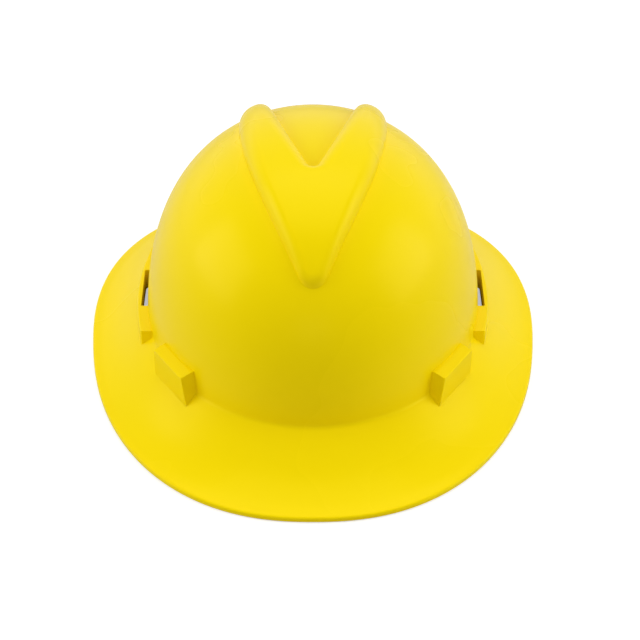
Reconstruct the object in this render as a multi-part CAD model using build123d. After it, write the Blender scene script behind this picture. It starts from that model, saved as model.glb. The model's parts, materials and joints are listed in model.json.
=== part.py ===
from build123d import *
from math import acos, atan2, cos, degrees, hypot, pi, radians, sin, sqrt, tan
import os

# Full brim hard hat: a moulded shell with a raised V on its crown, hung on four keys
# over a crossed pair of woven straps and a headband with a rack and pinion size adjuster.
# Millimetres. +Z is up, the brow is towards -Y and the wearer's left is towards +X.
# The origin is under the middle of the brim, on the plane that the brim edge rests on.

# Dome
dome_half_width = 102.5
dome_half_length = 121.0
dome_middle_y = 9.0
dome_top_z = 143.0
crease_z = 28.0
dome_foot_z = 21.0
dome_side_fullness_share = 0.675
dome_crown_fullness_share = 0.657
shell_wall = 2.5
crease_radius = 3.0

# Brim
brim_half_width = 138.0
brim_half_length = 161.0
brim_roundness = 2.32
brim_rear_flare_share = 0.11
brim_outline_points = 28
brim_edge_height = 3.0
brim_edge_wall = 2.8
brim_edge_radius = 1.2
brim_wall_drop = 2.8
brim_run_shares = (0.0, 0.18, 0.45, 0.75, 1.0, 1.22)
brim_rise_shares = (0.0, 0.09, 0.32, 0.68, 1.0, 1.22)

# Raised V on the crown, each half-width paired with its place from brow to nape
ridge_height = 6.5
ridge_edge_radius = 4.6
ridge_inner_edge_radius = 2.0
ridge_floor_z = 84.0
ridge_tip_y = -97.0
ridge_tip_radius = 10.8
ridge_notch_y = -20.0
ridge_notch_radius = 4.0
ridge_side_y = -38.0
ridge_side_half_width = 28.5
ridge_groove_y = 17.0
ridge_groove_half_width = 14.3
ridge_end_y = 100.0
ridge_end_outer_half_width = 44.5
ridge_end_inner_half_width = 26.5
ridge_end_radius = 6.0

# Suspension lugs on the outside of the dome
lug_front_y = -65.5
lug_rear_y = 74.0
lug_length = 35.0
lug_top_reach = 6.2
lug_foot_reach = 9.0
lug_top_inner_z = 45.5
lug_top_outer_z = 41.0
lug_floor_z = 8.0
lug_edge_radius = 1.6

# Accessory bosses with their through slots, one on each side
boss_reach = 6.5
boss_bow_half_length = 150.0
boss_bow_middle_y = 14.0
boss_front_y = -28.0
boss_rear_y = 66.0
boss_top_z = 33.0
boss_edge_radius = 1.2
slot_inner_x = 101.6
slot_width = 4.5
slot_front_y = -2.5
slot_length = 37.5

# Headband outline, measured on the middle of the strip
band_half_width = 82.0
band_front_y = -98.0
band_rear_y = 92.0
band_corner_radius = 50.0
band_wall = 1.8
band_height = 28.0
band_middle_z = 27.0
band_fixed_rear_y = 30.0
band_edge_radius = 0.6
height_travel = 6.0

# Brow sweatband and nape pad
sweat_gap = 0.3
sweat_thickness = 4.2
sweat_height = 25.0
sweat_rear_y = 14.0
sweat_edge_radius = 1.8
nape_pad_thickness = 5.0
nape_pad_half_width = 30.0
nape_pad_height = 26.0
nape_pad_edge_radius = 2.0

# Hanger keys
key_blade_width = 20.0
key_blade_thickness = 3.4
key_blade_inner = 0.2
key_blade_top_z = 38.0
key_fit = 0.3
key_foot_z = 14.0
key_foot_height = 2.4
key_tab_width = 26.0
key_tab_thickness = 2.4
key_tab_top_z = 57.0
key_band_gap = 1.0
key_strap_slot_z = 51.0
key_strap_slot_height = 3.0
key_edge_radius = 0.8

# Height studs that carry the headband in the keys' upright slots
stud_radius = 2.5
stud_head_radius = 4.2
stud_head_thickness = 2.0
stud_fit = 0.25
stud_rear_float = 3.0

# Woven crown straps
strap_width = 20.0
strap_thickness = 1.2
strap_end_z = 49.0
strap_top_z = 107.0
strap_crossing_lift = 2.2
strap_end_lean_share = 0.5
strap_key_gap = 2.9

# Rack and pinion size adjuster
rack_travel = 16.0
pinion_teeth = 8
pinion_module = 1.25
pressure_angle = 25.0
tooth_addendum = 0.8
tooth_dedendum = 1.1
tooth_backlash = 0.25
rack_thickness = 1.6
rack_layer_gap = 0.3
rack_slot_side = 1.5
rack_rim = 4.0
rack_fit = 0.35
rack_end_radius = 2.0

housing_half_width = 26.0
housing_half_height = 17.0
housing_floor = 3.6
housing_cover_wall = 3.6
housing_edge_radius = 4.0
housing_rim_radius = 0.8
journal_radius = 3.0
journal_depth = 2.4
running_fit = 0.05
hub_radius = 4.6
hub_fit = 0.3
housing_screw_x = 20.5
housing_screw_z = 14.0
housing_screw_radius = 1.2
housing_screw_head_radius = 2.3
housing_screw_head_height = 1.2
housing_screw_length = 8.0

# Knob and its detent
knob_radius = 15.0
knob_depth = 12.0
knob_gap = 0.4
knob_wall = 2.4
knob_face = 3.0
knob_flutes = 12
knob_flute_radius = 2.6
knob_flute_offset = 1.2
knob_edge_radius = 1.6
knob_boss_radius = 7.2
hub_length = 7.5
hub_flat = 3.6
hub_socket_fit = 0.1
detent_teeth = 18
detent_ring_radius = 11.6
detent_tooth_depth = 0.9
detent_recess_depth = 1.8
pawl_fit = 0.3
pawl_arms = 3
pawl_ring_outer = 9.2
pawl_ring_inner = 7.6
pawl_arm_width = 1.3
pawl_thickness = 1.4
knob_screw_radius = 1.5
knob_screw_head_radius = 3.2
knob_screw_head_height = 1.6
knob_screw_length = 9.0

# One overrun serves every cut, and an edge steeper than the level share counts as upright
overrun = 5.0
level_share = 0.99
crossing_halvings = 14

# Sizes worked out from the ones above
pitch_radius = pinion_teeth * pinion_module / 2
tooth_pitch = pi * pinion_module
tooth_slope = tan(radians(pressure_angle))
layer_outer_y = band_rear_y + rack_layer_gap / 2 + rack_thickness / 2
layer_inner_y = band_rear_y - rack_layer_gap / 2 - rack_thickness / 2
channel_half_depth = rack_thickness + rack_layer_gap / 2 + rack_layer_gap
channel_front_y = band_rear_y - channel_half_depth
channel_back_y = band_rear_y + channel_half_depth
base_front_y = channel_front_y - housing_floor
cover_back_y = channel_back_y + housing_cover_wall
knob_front_y = cover_back_y + knob_gap
knob_back_y = knob_front_y + knob_depth
rack_slot_half_height = pitch_radius + tooth_dedendum
rack_half_height = rack_slot_half_height + rack_rim
channel_half_height = rack_half_height + rack_fit
rack_slot_short = rack_slot_half_height + rack_slot_side
rack_free_end = rack_slot_short + rack_rim
rack_root_end = rack_travel + rack_free_end
band_bottom_z = band_middle_z - band_height / 2
sides = {"left": 1, "right": -1}


def brim_outline(run, inset):
    """Plan curve between the brim edge, run 0, and the dome, run 1, drawn in by inset."""
    points = []
    for step in range(brim_outline_points):
        turn = 2 * pi * step / brim_outline_points
        across = cos(turn)
        along = sin(turn)
        reach = (abs(across) ** brim_roundness + abs(along) ** brim_roundness) ** (-1 / brim_roundness)
        flare = 1 + brim_rear_flare_share * along
        edge_x = (brim_half_width - inset) * reach * across * flare
        edge_y = (brim_half_length - inset) * reach * along
        dome_x = (dome_half_width - inset) * across
        dome_y = dome_middle_y + (dome_half_length - inset) * along
        points.append((edge_x + run * (dome_x - edge_x), edge_y + run * (dome_y - edge_y)))
    return make_face(Spline(points, periodic=True))


def brim_form(inset, drop):
    """Solid under the brim's upper surface, drawn in and lowered to give its lower one."""
    rise = crease_z - brim_edge_height
    sections = []
    for run, height in zip(brim_run_shares, brim_rise_shares):
        sections.append(Pos(0, 0, brim_edge_height - drop + rise * height) * brim_outline(run, inset))
    slope = loft(sections)
    skirt_height = brim_edge_height - drop + (overrun if drop else 0)
    skirt_low = -overrun if drop else 0
    return Pos(0, 0, skirt_low) * extrude(brim_outline(0, inset), skirt_height) + slope


def dome_form(inset, lift):
    """Dome turned from its profile and drawn out lengthwise, drawn in by inset."""
    half_width = dome_half_width - inset
    top_z = dome_top_z - inset + lift
    shoulder = (half_width, dome_foot_z + dome_side_fullness_share * (top_z - dome_foot_z))
    crown = (dome_crown_fullness_share * half_width, top_z)
    curve = Bezier((half_width, dome_foot_z), shoulder, crown, (0, top_z))
    low_z = brim_edge_height / 2 if inset == 0 else -2 * overrun
    base = Polyline((half_width, dome_foot_z), (half_width, low_z), (0, low_z), (0, top_z))
    profile = Plane.YZ * make_face([curve, *base.edges()])
    turned = revolve(profile, Axis.Z)
    stretch = (dome_half_length - inset) / half_width
    return Pos(0, dome_middle_y, 0) * scale(turned, by=(1, stretch, 1))


def ridge_plan(inset):
    """Plan of the raised V: a rounded tip at the brow and two arms running back."""
    edges = []
    for side in sides.values():
        outer_end = (side * (ridge_end_outer_half_width - inset), ridge_end_y - inset)
        inner_end = (side * (ridge_end_inner_half_width + inset), ridge_end_y - inset)
        outer_side = (side * (ridge_side_half_width - inset), ridge_side_y)
        inner_side = (side * (ridge_groove_half_width + inset), ridge_groove_y)
        edges.append(ThreePointArc((0, ridge_tip_y + 2 * inset), outer_side, outer_end))
        edges.append(ThreePointArc((0, ridge_notch_y - 2 * inset), inner_side, inner_end))
        edges.append(Line(outer_end, inner_end))
    plan = make_face(edges)
    radii = {ridge_tip_y + 2 * inset: ridge_tip_radius, ridge_notch_y - 2 * inset: ridge_notch_radius}
    for corner_y, radius in radii.items():
        corner = [v for v in plan.vertices() if abs(v.Y - corner_y) < crease_radius and abs(v.X) < crease_radius]
        plan = fillet(corner, radius)
    ends = [v for v in plan.vertices() if v.Y > ridge_end_y - inset - crease_radius]
    return fillet(ends, ridge_end_radius)


def ridge_form(inset, edge_radius):
    """Raised V on the crown: its plan cut from a slightly taller dome, edges rounded."""
    column = Pos(0, 0, ridge_floor_z) * extrude(ridge_plan(inset), dome_top_z)
    raised = dome_form(inset, ridge_height) & column
    rim = raised.edges().filter_by(lambda edge: edge.center().Z > ridge_floor_z + overrun)
    rim = rim.filter_by(lambda edge: abs(edge.tangent_at(0.5).Z) < level_share)
    return fillet(rim, edge_radius)


def dome_place(side, y):
    """Place on the dome's foot at y: local +X points out of the dome, +Z up."""
    along = (y - dome_middle_y) / dome_half_length
    x = side * dome_half_width * sqrt(1 - along ** 2)
    heading = atan2((y - dome_middle_y) / dome_half_length ** 2, x / dome_half_width ** 2)
    return Location((x, y, 0), (0, 0, degrees(heading)))


def lug_form():
    """Block on the outside of the dome that houses a key: sloping top and outer face."""
    profile = Polyline(
        (-lug_foot_reach, lug_floor_z),
        (lug_foot_reach, lug_floor_z),
        (lug_foot_reach, crease_z - shell_wall),
        (lug_top_reach, lug_top_outer_z),
        (0, lug_top_inner_z),
        (-lug_foot_reach, lug_top_inner_z),
        close=True,
    )
    block = extrude(Plane.XZ * make_face(profile), lug_length / 2, both=True)
    shown = block.edges().filter_by(lambda edge: edge.center().X > 0 and edge.center().Z > crease_z)
    return fillet(shown, lug_edge_radius)


def lug_pocket():
    """Socket for a key's blade, open below."""
    width = key_blade_width + 2 * key_fit
    depth = key_blade_thickness + 2 * key_fit
    height = key_blade_top_z + key_fit
    return Pos(key_blade_inner + key_blade_thickness / 2, 0, height / 2) * Box(depth, width, height)


def boss_form(side):
    """Accessory boss along the side of the dome, a little straighter than its foot."""
    outer = Ellipse(dome_half_width + boss_reach, boss_bow_half_length)
    body = Pos(0, boss_bow_middle_y, lug_floor_z) * extrude(outer, boss_top_z - lug_floor_z)
    length = boss_rear_y - boss_front_y
    middle_y = (boss_rear_y + boss_front_y) / 2
    window = Pos(side * dome_half_width, middle_y, 0) * Box(4 * boss_reach, length, dome_top_z)
    body &= window
    shown = body.edges().filter_by(lambda edge: edge.center().Z > boss_top_z - boss_edge_radius)
    shown = shown.filter_by(lambda edge: abs(edge.center().X) > dome_half_width - boss_reach)
    return fillet(shown, boss_edge_radius)


def slot_cutter(side):
    """Upright slot through a boss and the brim below it."""
    middle_x = side * (slot_inner_x + slot_width / 2)
    middle_y = slot_front_y + slot_length / 2
    height = 2 * (boss_top_z + overrun)
    return Pos(middle_x, middle_y, 0) * Box(slot_width, slot_length, height)


def shell():
    """Moulded shell: dome, brim, raised V, key lugs and accessory bosses over one cavity."""
    body = dome_form(0, 0) + brim_form(0, 0)
    crease = body.edges().filter_by(lambda edge: abs(edge.center().Z - crease_z) < crease_radius)
    crease = crease.filter_by(lambda edge: edge.length > dome_half_width)
    body = fillet(crease, crease_radius)
    rim = body.edges().filter_by(lambda edge: abs(edge.center().Z - brim_edge_height) < brim_edge_radius)
    rim = rim.filter_by(lambda edge: edge.length > brim_half_width)
    body = fillet(rim, brim_edge_radius)
    body += ridge_form(0, ridge_edge_radius)
    for side in sides.values():
        body += boss_form(side)
        for lug_y in (lug_front_y, lug_rear_y):
            body += dome_place(side, lug_y) * lug_form()
    cavity = dome_form(shell_wall, 0) + brim_form(brim_edge_wall, brim_wall_drop)
    cavity += ridge_form(shell_wall, ridge_inner_edge_radius)
    body -= cavity
    for side in sides.values():
        body -= slot_cutter(side)
        for lug_y in (lug_front_y, lug_rear_y):
            body -= dome_place(side, lug_y) * lug_pocket()
    return body


def band_outline(grow):
    """Plan outline parallel to the headband's middle line, grown outwards by grow."""
    half_width = band_half_width + grow
    front_y = band_front_y - grow
    rear_y = band_rear_y + grow
    corner = band_corner_radius + grow
    corner_y = rear_y - corner
    corner_x = half_width - corner
    edges = [Line((-corner_x, rear_y), (corner_x, rear_y))]
    edges.append(EllipticalCenterArc((0, 0), half_width, -front_y, 180, arc_size=180))
    for side in sides.values():
        edges.append(Line((side * half_width, 0), (side * half_width, corner_y)))
        angles = (0, 90) if side > 0 else (90, 90)
        edges.append(CenterArc((side * corner_x, corner_y), corner, *angles))
    return make_face(edges)


def band_ring(inner, outer, height, middle_z):
    """Upright ring between two outlines parallel to the headband's middle line."""
    ring = band_outline(outer) - band_outline(inner)
    return Pos(0, 0, middle_z - height / 2) * extrude(ring, height)


def band_crossing(place):
    """Distance from a place on the dome's foot inwards to the headband's middle line."""
    start = place.position
    heading = radians(place.orientation.Z)
    low = 0.0
    high = dome_half_width / 2
    for halving in range(crossing_halvings):
        middle = (low + high) / 2
        x = abs(start.X - middle * cos(heading))
        y = start.Y - middle * sin(heading)
        corner_y = band_rear_y - band_corner_radius
        corner_x = band_half_width - band_corner_radius
        if y > corner_y:
            outside = hypot(x - corner_x, y - corner_y) > band_corner_radius
        else:
            outside = hypot(x / band_half_width, min(y, 0) / band_front_y) > 1
        low, high = (middle, high) if outside else (low, middle)
    return low


def headband():
    """Front and sides of the headband, rigid as far back as the ears."""
    ring = band_ring(-band_wall / 2, band_wall / 2, band_height, band_middle_z)
    front = Pos(0, band_fixed_rear_y, 0) * Box(4 * dome_half_width, 4 * dome_half_length, 2 * dome_top_z,
                                               align=(Align.CENTER, Align.MAX, Align.CENTER))
    return (ring & front) - stud_holes()


def stud_holes():
    """Holes in the band for the studs' shanks."""
    holes = [stud_at(place, stud_radius + stud_fit, 0) for place in key_places().values()]
    return Compound(children=holes)


def band_arm(side):
    """Flexible end of the headband, from the ears to the rack, tapering in height."""
    ring = band_ring(-rack_thickness / 2, rack_thickness / 2, band_height, band_middle_z)
    taper = Polyline(
        (side * rack_root_end, band_middle_z - rack_half_height),
        (side * rack_root_end, band_middle_z + rack_half_height),
        (side * (band_half_width - band_corner_radius), band_middle_z + rack_half_height),
        (side * band_half_width, band_middle_z + band_height / 2),
        (side * dome_half_width, band_middle_z + band_height / 2),
        (side * dome_half_width, band_middle_z - band_height / 2),
        (side * band_half_width, band_middle_z - band_height / 2),
        (side * (band_half_width - band_corner_radius), band_middle_z - rack_half_height),
        close=True,
    )
    window = Pos(0, band_fixed_rear_y, 0) * extrude(Plane.XZ * make_face(taper), -dome_half_length)
    return (ring & window) - stud_holes()


def sweatband():
    """Padded band across the brow, inside the headband."""
    pad = band_ring(-band_wall / 2 - sweat_gap - sweat_thickness, -band_wall / 2 - sweat_gap,
                    sweat_height, band_middle_z)
    front = Pos(0, sweat_rear_y, 0) * Box(4 * dome_half_width, 4 * dome_half_length, 2 * dome_top_z,
                                          align=(Align.CENTER, Align.MAX, Align.CENTER))
    pad = pad & front
    rims = pad.edges().filter_by(lambda edge: abs(edge.center().Z - band_middle_z) > sweat_height / 2 - sweat_gap)
    rims = rims.filter_by(lambda edge: edge.length > 2 * sweat_thickness)
    middle_x = band_half_width - band_wall / 2 - sweat_gap - sweat_thickness / 2
    worn = rims.filter_by(lambda edge: abs((edge @ 0).X) < middle_x)
    return fillet(worn, sweat_edge_radius)


def key_places():
    """Name and place of each hanger key, one in each lug."""
    places = {}
    for end, lug_y in (("front", lug_front_y), ("rear", lug_rear_y)):
        for side_name, side in sides.items():
            places[f"key_{end}_{side_name}"] = dome_place(side, lug_y)
    return places


def tab_back(place):
    """Distance from the dome's foot inwards to the face of a key's tab nearest the band."""
    return band_crossing(place) - band_wall / 2 - key_band_gap


def hanger_key(place):
    """Hanger key: blade in the lug, foot under the dome's wall, slotted tab by the band."""
    back = tab_back(place)
    blade_height = key_blade_top_z - key_foot_z
    blade = Pos(key_blade_inner, 0, key_foot_z) * Box(
        key_blade_thickness, key_blade_width, blade_height, align=(Align.MIN, Align.CENTER, Align.MIN))
    foot = Pos(-back, 0, key_foot_z) * Box(
        back + key_blade_inner + key_blade_thickness, key_blade_width, key_foot_height,
        align=(Align.MIN, Align.CENTER, Align.MIN))
    tab_height = key_tab_top_z - key_foot_z
    tab = Pos(-back, 0, key_foot_z) * Box(
        key_tab_thickness, key_tab_width, tab_height, align=(Align.MIN, Align.CENTER, Align.MIN))
    corners = tab.edges().filter_by(Axis.X)
    tab = fillet(corners, stud_radius)
    key = blade + foot + tab
    slot = SlotOverall(2 * (height_travel + stud_radius + stud_fit), 2 * (stud_radius + stud_fit))
    upright = Plane((-back - overrun, 0, band_middle_z), x_dir=(0, 0, 1), z_dir=(1, 0, 0)) * slot
    key -= extrude(upright, key_tab_thickness + 2 * overrun)
    strap_slot = Pos(-back, 0, key_strap_slot_z) * Box(
        2 * overrun, strap_width + 2 * key_fit, key_strap_slot_height)
    key -= strap_slot
    return place * key


def stud_at(place, radius, head):
    """One height stud, square to the band, from inside it to the far side of the tab."""
    float_room = stud_rear_float if place.position.Y > dome_middle_y else 0
    depth = band_wall + key_band_gap + key_tab_thickness + stud_fit + float_room
    stud = Cylinder(radius, depth, align=(Align.CENTER, Align.CENTER, Align.MIN))
    if head:
        cap = Pos(0, 0, depth) * Cylinder(stud_head_radius, head, align=(Align.CENTER, Align.CENTER, Align.MIN))
        stud += fillet(cap.edges().group_by(Axis.Z)[-1], head / 2)
    upright = Plane((-band_crossing(place) - band_wall / 2, 0, band_middle_z), z_dir=(1, 0, 0))
    return place * (upright * stud)


def height_studs():
    """The four mushroom studs on the headband."""
    studs = [stud_at(place, stud_radius, stud_head_thickness) for place in key_places().values()]
    return Compound(children=studs)


def crown_strap(front, rear, lift):
    """Woven strap over the head from a front key to the rear key across from it."""
    ends = []
    for place in (front, rear):
        back = tab_back(place) + strap_key_gap
        ends.append((place * Location((-back, 0, 0))).position)
    span = ends[1] - ends[0]
    across = span.normalized()
    plane = Plane((ends[0].X, ends[0].Y, 0), x_dir=(across.X, across.Y, 0), z_dir=(across.Y, -across.X, 0))
    crossing = -ends[0].X / across.X
    top_z = strap_top_z + lift
    rise = (strap_end_lean_share, 1)
    fall = (strap_end_lean_share, -1)
    line = Spline((0, strap_end_z), (crossing, top_z), (span.length, strap_end_z),
                  tangents=[rise, (1, 0), fall])
    strip = trace(line, strap_thickness)
    return extrude(plane * strip, strap_width / 2, both=True)


def rack(side):
    """Slotted end strip of the headband with teeth along one edge of its slot."""
    layer_y = layer_outer_y if side > 0 else layer_inner_y
    length = rack_root_end + rack_free_end
    body = Pos((rack_root_end - rack_free_end) / 2, 0) * RectangleRounded(
        length, 2 * rack_half_height, rack_end_radius)
    slot_length = rack_travel + 2 * rack_slot_short
    slot_height = rack_slot_half_height + rack_slot_short
    slot_middle = (rack_slot_half_height - rack_slot_short) / 2
    body -= Pos(rack_travel / 2, slot_middle) * Rectangle(slot_length, slot_height)
    tip = tooth_pitch / 4 - tooth_backlash / 2 - tooth_addendum * tooth_slope
    root = tooth_pitch / 4 - tooth_backlash / 2 + tooth_dedendum * tooth_slope
    low = pitch_radius - tooth_addendum
    high = rack_slot_half_height
    outline = Polyline((-root, high), (-tip, low), (tip, low), (root, high), (root, high + rack_end_radius),
                       (-root, high + rack_end_radius), close=True)
    tooth = make_face(outline)
    first = -int((rack_slot_short - tooth_pitch / 2) / tooth_pitch)
    last = int((rack_travel + rack_slot_short - tooth_pitch / 2) / tooth_pitch)
    for step in range(first - 1, last + 1):
        body += Pos((2 * step + 1) * tooth_pitch / 2, 0) * tooth
    body = Rectangle(length * 2, 2 * rack_half_height) & body
    turned = extrude(Plane.XZ.offset(-rack_thickness / 2) * body, rack_thickness)
    if side < 0:
        turned = Rot(0, 180, 0) * turned
    return Pos(0, layer_y, band_middle_z) * turned


def pinion_outline():
    """Involute pinion outline, one tooth pointing up."""
    base_radius = pitch_radius * cos(radians(pressure_angle))
    tip_radius = pitch_radius + tooth_addendum
    root_radius = pitch_radius - tooth_dedendum
    pitch_turn = tan(radians(pressure_angle)) - radians(pressure_angle)
    half_tooth = pi / (2 * pinion_teeth) - tooth_backlash / (2 * pitch_radius)
    flank = [(root_radius, half_tooth + pitch_turn)]
    for radius in (base_radius, (base_radius + pitch_radius) / 2, pitch_radius, tip_radius):
        roll = acos(base_radius / radius)
        flank.append((radius, half_tooth + pitch_turn - (tan(roll) - roll)))
    points = []
    for tooth in range(pinion_teeth):
        middle = pi / 2 - 2 * pi * tooth / pinion_teeth
        points += [(r * cos(middle + turn), r * sin(middle + turn)) for r, turn in flank]
        points += [(r * cos(middle - turn), r * sin(middle - turn)) for r, turn in reversed(flank)]
    return make_face(Polyline(*points, close=True))


def along_y(shape, start_y, end_y):
    """Flat shape drawn out from start_y to end_y on the adjuster's axis."""
    plane = Plane((0, start_y, band_middle_z), x_dir=(1, 0, 0), z_dir=(0, -1, 0))
    return extrude(plane * shape, start_y - end_y)


def hub_outline(radius, grow):
    """Round hub with two flats."""
    flats = Rectangle(2 * (hub_flat + grow), 4 * radius)
    return Circle(radius + grow) & flats


def pinion():
    """Pinion with its journal in the base and its flatted hub in the knob."""
    teeth_front = channel_front_y + rack_layer_gap / 2
    teeth_back = channel_back_y - rack_layer_gap / 2
    body = along_y(pinion_outline(), teeth_front, teeth_back)
    body += along_y(Circle(journal_radius), channel_front_y - journal_depth + running_fit, teeth_front)
    body += along_y(Circle(hub_radius), teeth_back, knob_front_y)
    body += along_y(hub_outline(hub_radius, 0), knob_front_y, knob_front_y + hub_length)
    return body - along_y(Circle(knob_screw_radius), knob_front_y, knob_front_y + hub_length + overrun)


def housing_outline(inset):
    """Face-on outline of the adjuster housing."""
    return RectangleRounded(2 * (housing_half_width - inset), 2 * (housing_half_height - inset),
                            housing_edge_radius)


def screw_places():
    """Corners of the housing that hold its screws."""
    return [(x, z) for x in (-housing_screw_x, housing_screw_x) for z in (-housing_screw_z, housing_screw_z)]


def ratchet_base():
    """Inner half of the housing: floor, top and bottom rails, and the pinion's bearing."""
    body = along_y(housing_outline(0), base_front_y, channel_back_y)
    mouth = Rectangle(4 * housing_half_width, 2 * channel_half_height)
    body -= along_y(mouth, channel_front_y, channel_back_y + overrun)
    rim = body.edges().group_by(Axis.Y)[0]
    body = fillet(rim, housing_rim_radius)
    body -= along_y(Circle(journal_radius + running_fit), channel_front_y - journal_depth, channel_front_y + overrun)
    for x, z in screw_places():
        body -= along_y(Pos(x, z) * Circle(housing_screw_radius), channel_back_y - housing_screw_length
                        + housing_cover_wall, channel_back_y + overrun)
    return body


def ratchet_cover():
    """Outer half of the housing, with the bearing for the hub and the ring of detent teeth."""
    body = along_y(housing_outline(0), channel_back_y, cover_back_y)
    rim = body.edges().group_by(Axis.Y)[-1]
    body = fillet(rim, housing_rim_radius)
    body -= along_y(Circle(hub_radius + hub_fit), channel_back_y - overrun, cover_back_y + overrun)
    tip = detent_ring_radius - detent_tooth_depth
    points = []
    for step in range(detent_teeth):
        start = 2 * pi * step / detent_teeth
        end = 2 * pi * (step + 1) / detent_teeth
        points.append((tip * cos(start), tip * sin(start)))
        points.append((detent_ring_radius * cos(end), detent_ring_radius * sin(end)))
    recess = make_face(Polyline(*points, close=True)) - Circle(pawl_ring_inner - pawl_fit)
    body -= along_y(recess, cover_back_y - detent_recess_depth, cover_back_y + overrun)
    for x, z in screw_places():
        body -= along_y(Pos(x, z) * Circle(housing_screw_radius + running_fit), channel_back_y - overrun,
                        cover_back_y + overrun)
        body -= along_y(Pos(x, z) * Circle(housing_screw_head_radius + hub_fit),
                        cover_back_y - housing_screw_head_height, cover_back_y + overrun)
    return body


def housing_screws():
    """Four screws that close the housing."""
    screws = []
    head_front_y = cover_back_y - housing_screw_head_height
    for x, z in screw_places():
        head = along_y(Pos(x, z) * Circle(housing_screw_head_radius), head_front_y, cover_back_y)
        shank = along_y(Pos(x, z) * Circle(housing_screw_radius), cover_back_y - housing_screw_length, head_front_y)
        slot = Pos(x, z) * Rectangle(2 * housing_screw_head_radius, housing_screw_head_height / 2)
        head -= along_y(slot, cover_back_y - housing_screw_head_height / 2, cover_back_y + overrun)
        screws.append(head + shank)
    return Compound(children=screws)


def detent_pawl():
    """Sprung ring on the knob with three arms that click over the cover's teeth."""
    reach = detent_ring_radius - detent_tooth_depth - pawl_fit
    ring = Circle(pawl_ring_outer) - Circle(pawl_ring_inner)
    for arm_number in range(pawl_arms):
        arm = Pos((pawl_ring_inner + reach) / 2, 0) * Rectangle(reach - pawl_ring_inner, pawl_arm_width)
        ring += Rot(0, 0, 360 * arm_number / pawl_arms) * (arm & Circle(reach))
    return along_y(ring, cover_back_y - pawl_thickness, knob_front_y)


def ratchet_knob():
    """Fluted hand knob, hollow towards the housing, with a socket for the pinion's hub."""
    outline = Circle(knob_radius)
    body = along_y(outline, knob_front_y, knob_back_y)
    body = fillet(body.edges().group_by(Axis.Y)[-1], knob_edge_radius)
    for flute in range(knob_flutes):
        place = Rot(0, 0, 360 * flute / knob_flutes) * Pos(knob_radius + knob_flute_offset, 0)
        body -= along_y(place * Circle(knob_flute_radius), knob_front_y - overrun, knob_back_y + overrun)
    hollow = Circle(knob_radius - knob_flute_radius - knob_wall + knob_flute_offset) - Circle(knob_boss_radius)
    body -= along_y(hollow, knob_front_y + knob_face, knob_back_y - knob_face)
    body -= along_y(hub_outline(hub_radius, hub_socket_fit), knob_front_y - overrun, knob_front_y + hub_length)
    body -= along_y(Circle(knob_screw_radius + running_fit), knob_front_y, knob_back_y + overrun)
    return body - along_y(Circle(knob_screw_head_radius + hub_fit), knob_back_y - knob_screw_head_height,
                          knob_back_y + overrun)


def knob_screw():
    """Screw that holds the knob on the pinion's hub."""
    head_y = knob_back_y - knob_screw_head_height
    screw = along_y(Circle(knob_screw_head_radius), head_y, knob_back_y)
    screw += along_y(Circle(knob_screw_radius), knob_back_y - knob_screw_length, head_y)
    slot = Rectangle(2 * knob_screw_head_radius, knob_screw_head_height / 2)
    return screw - along_y(slot, knob_back_y - knob_screw_head_height / 2, knob_back_y + overrun)


def nape_pad():
    """Pad on the wearer's side of the housing, rounded towards the nape."""
    outline = RectangleRounded(2 * nape_pad_half_width, nape_pad_height, housing_edge_radius)
    body = along_y(outline, base_front_y - nape_pad_thickness, base_front_y)
    rim = body.edges().group_by(Axis.Y)[0]
    return fillet(rim, nape_pad_edge_radius)


def build():
    """Every piece by its node's name."""
    keys = key_places()
    pieces = {"shell": shell()}
    for name, place in keys.items():
        pieces[name] = hanger_key(place)
    pieces["crown_strap_under"] = crown_strap(keys["key_front_right"], keys["key_rear_left"], 0)
    pieces["crown_strap_over"] = crown_strap(keys["key_front_left"], keys["key_rear_right"], strap_crossing_lift)
    pieces["headband"] = headband()
    pieces["height_studs"] = height_studs()
    pieces["sweatband"] = sweatband()
    for side_name, side in sides.items():
        pieces[f"band_arm_{side_name}"] = band_arm(side)
        pieces[f"rack_{side_name}"] = rack(side)
    pieces["ratchet_base"] = ratchet_base()
    pieces["ratchet_cover"] = ratchet_cover()
    pieces["housing_screws"] = housing_screws()
    pieces["nape_pad"] = nape_pad()
    pieces["pinion"] = pinion()
    pieces["detent_pawl"] = detent_pawl()
    pieces["ratchet_knob"] = ratchet_knob()
    pieces["knob_screw"] = knob_screw()
    return pieces


if __name__ == "__main__":
    os.makedirs("parts", exist_ok=True)
    for node_name, piece in build().items():
        export_step(piece, f"parts/{node_name}.step")
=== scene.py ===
"""Looks of a full brim hard hat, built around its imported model. Metres, +Z up, brow towards -Y."""

import json
import logging
import math
from dataclasses import dataclass, field, replace
from enum import Enum
from typing import Callable, Sequence

import bpy
from mathutils import Matrix, Vector


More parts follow.
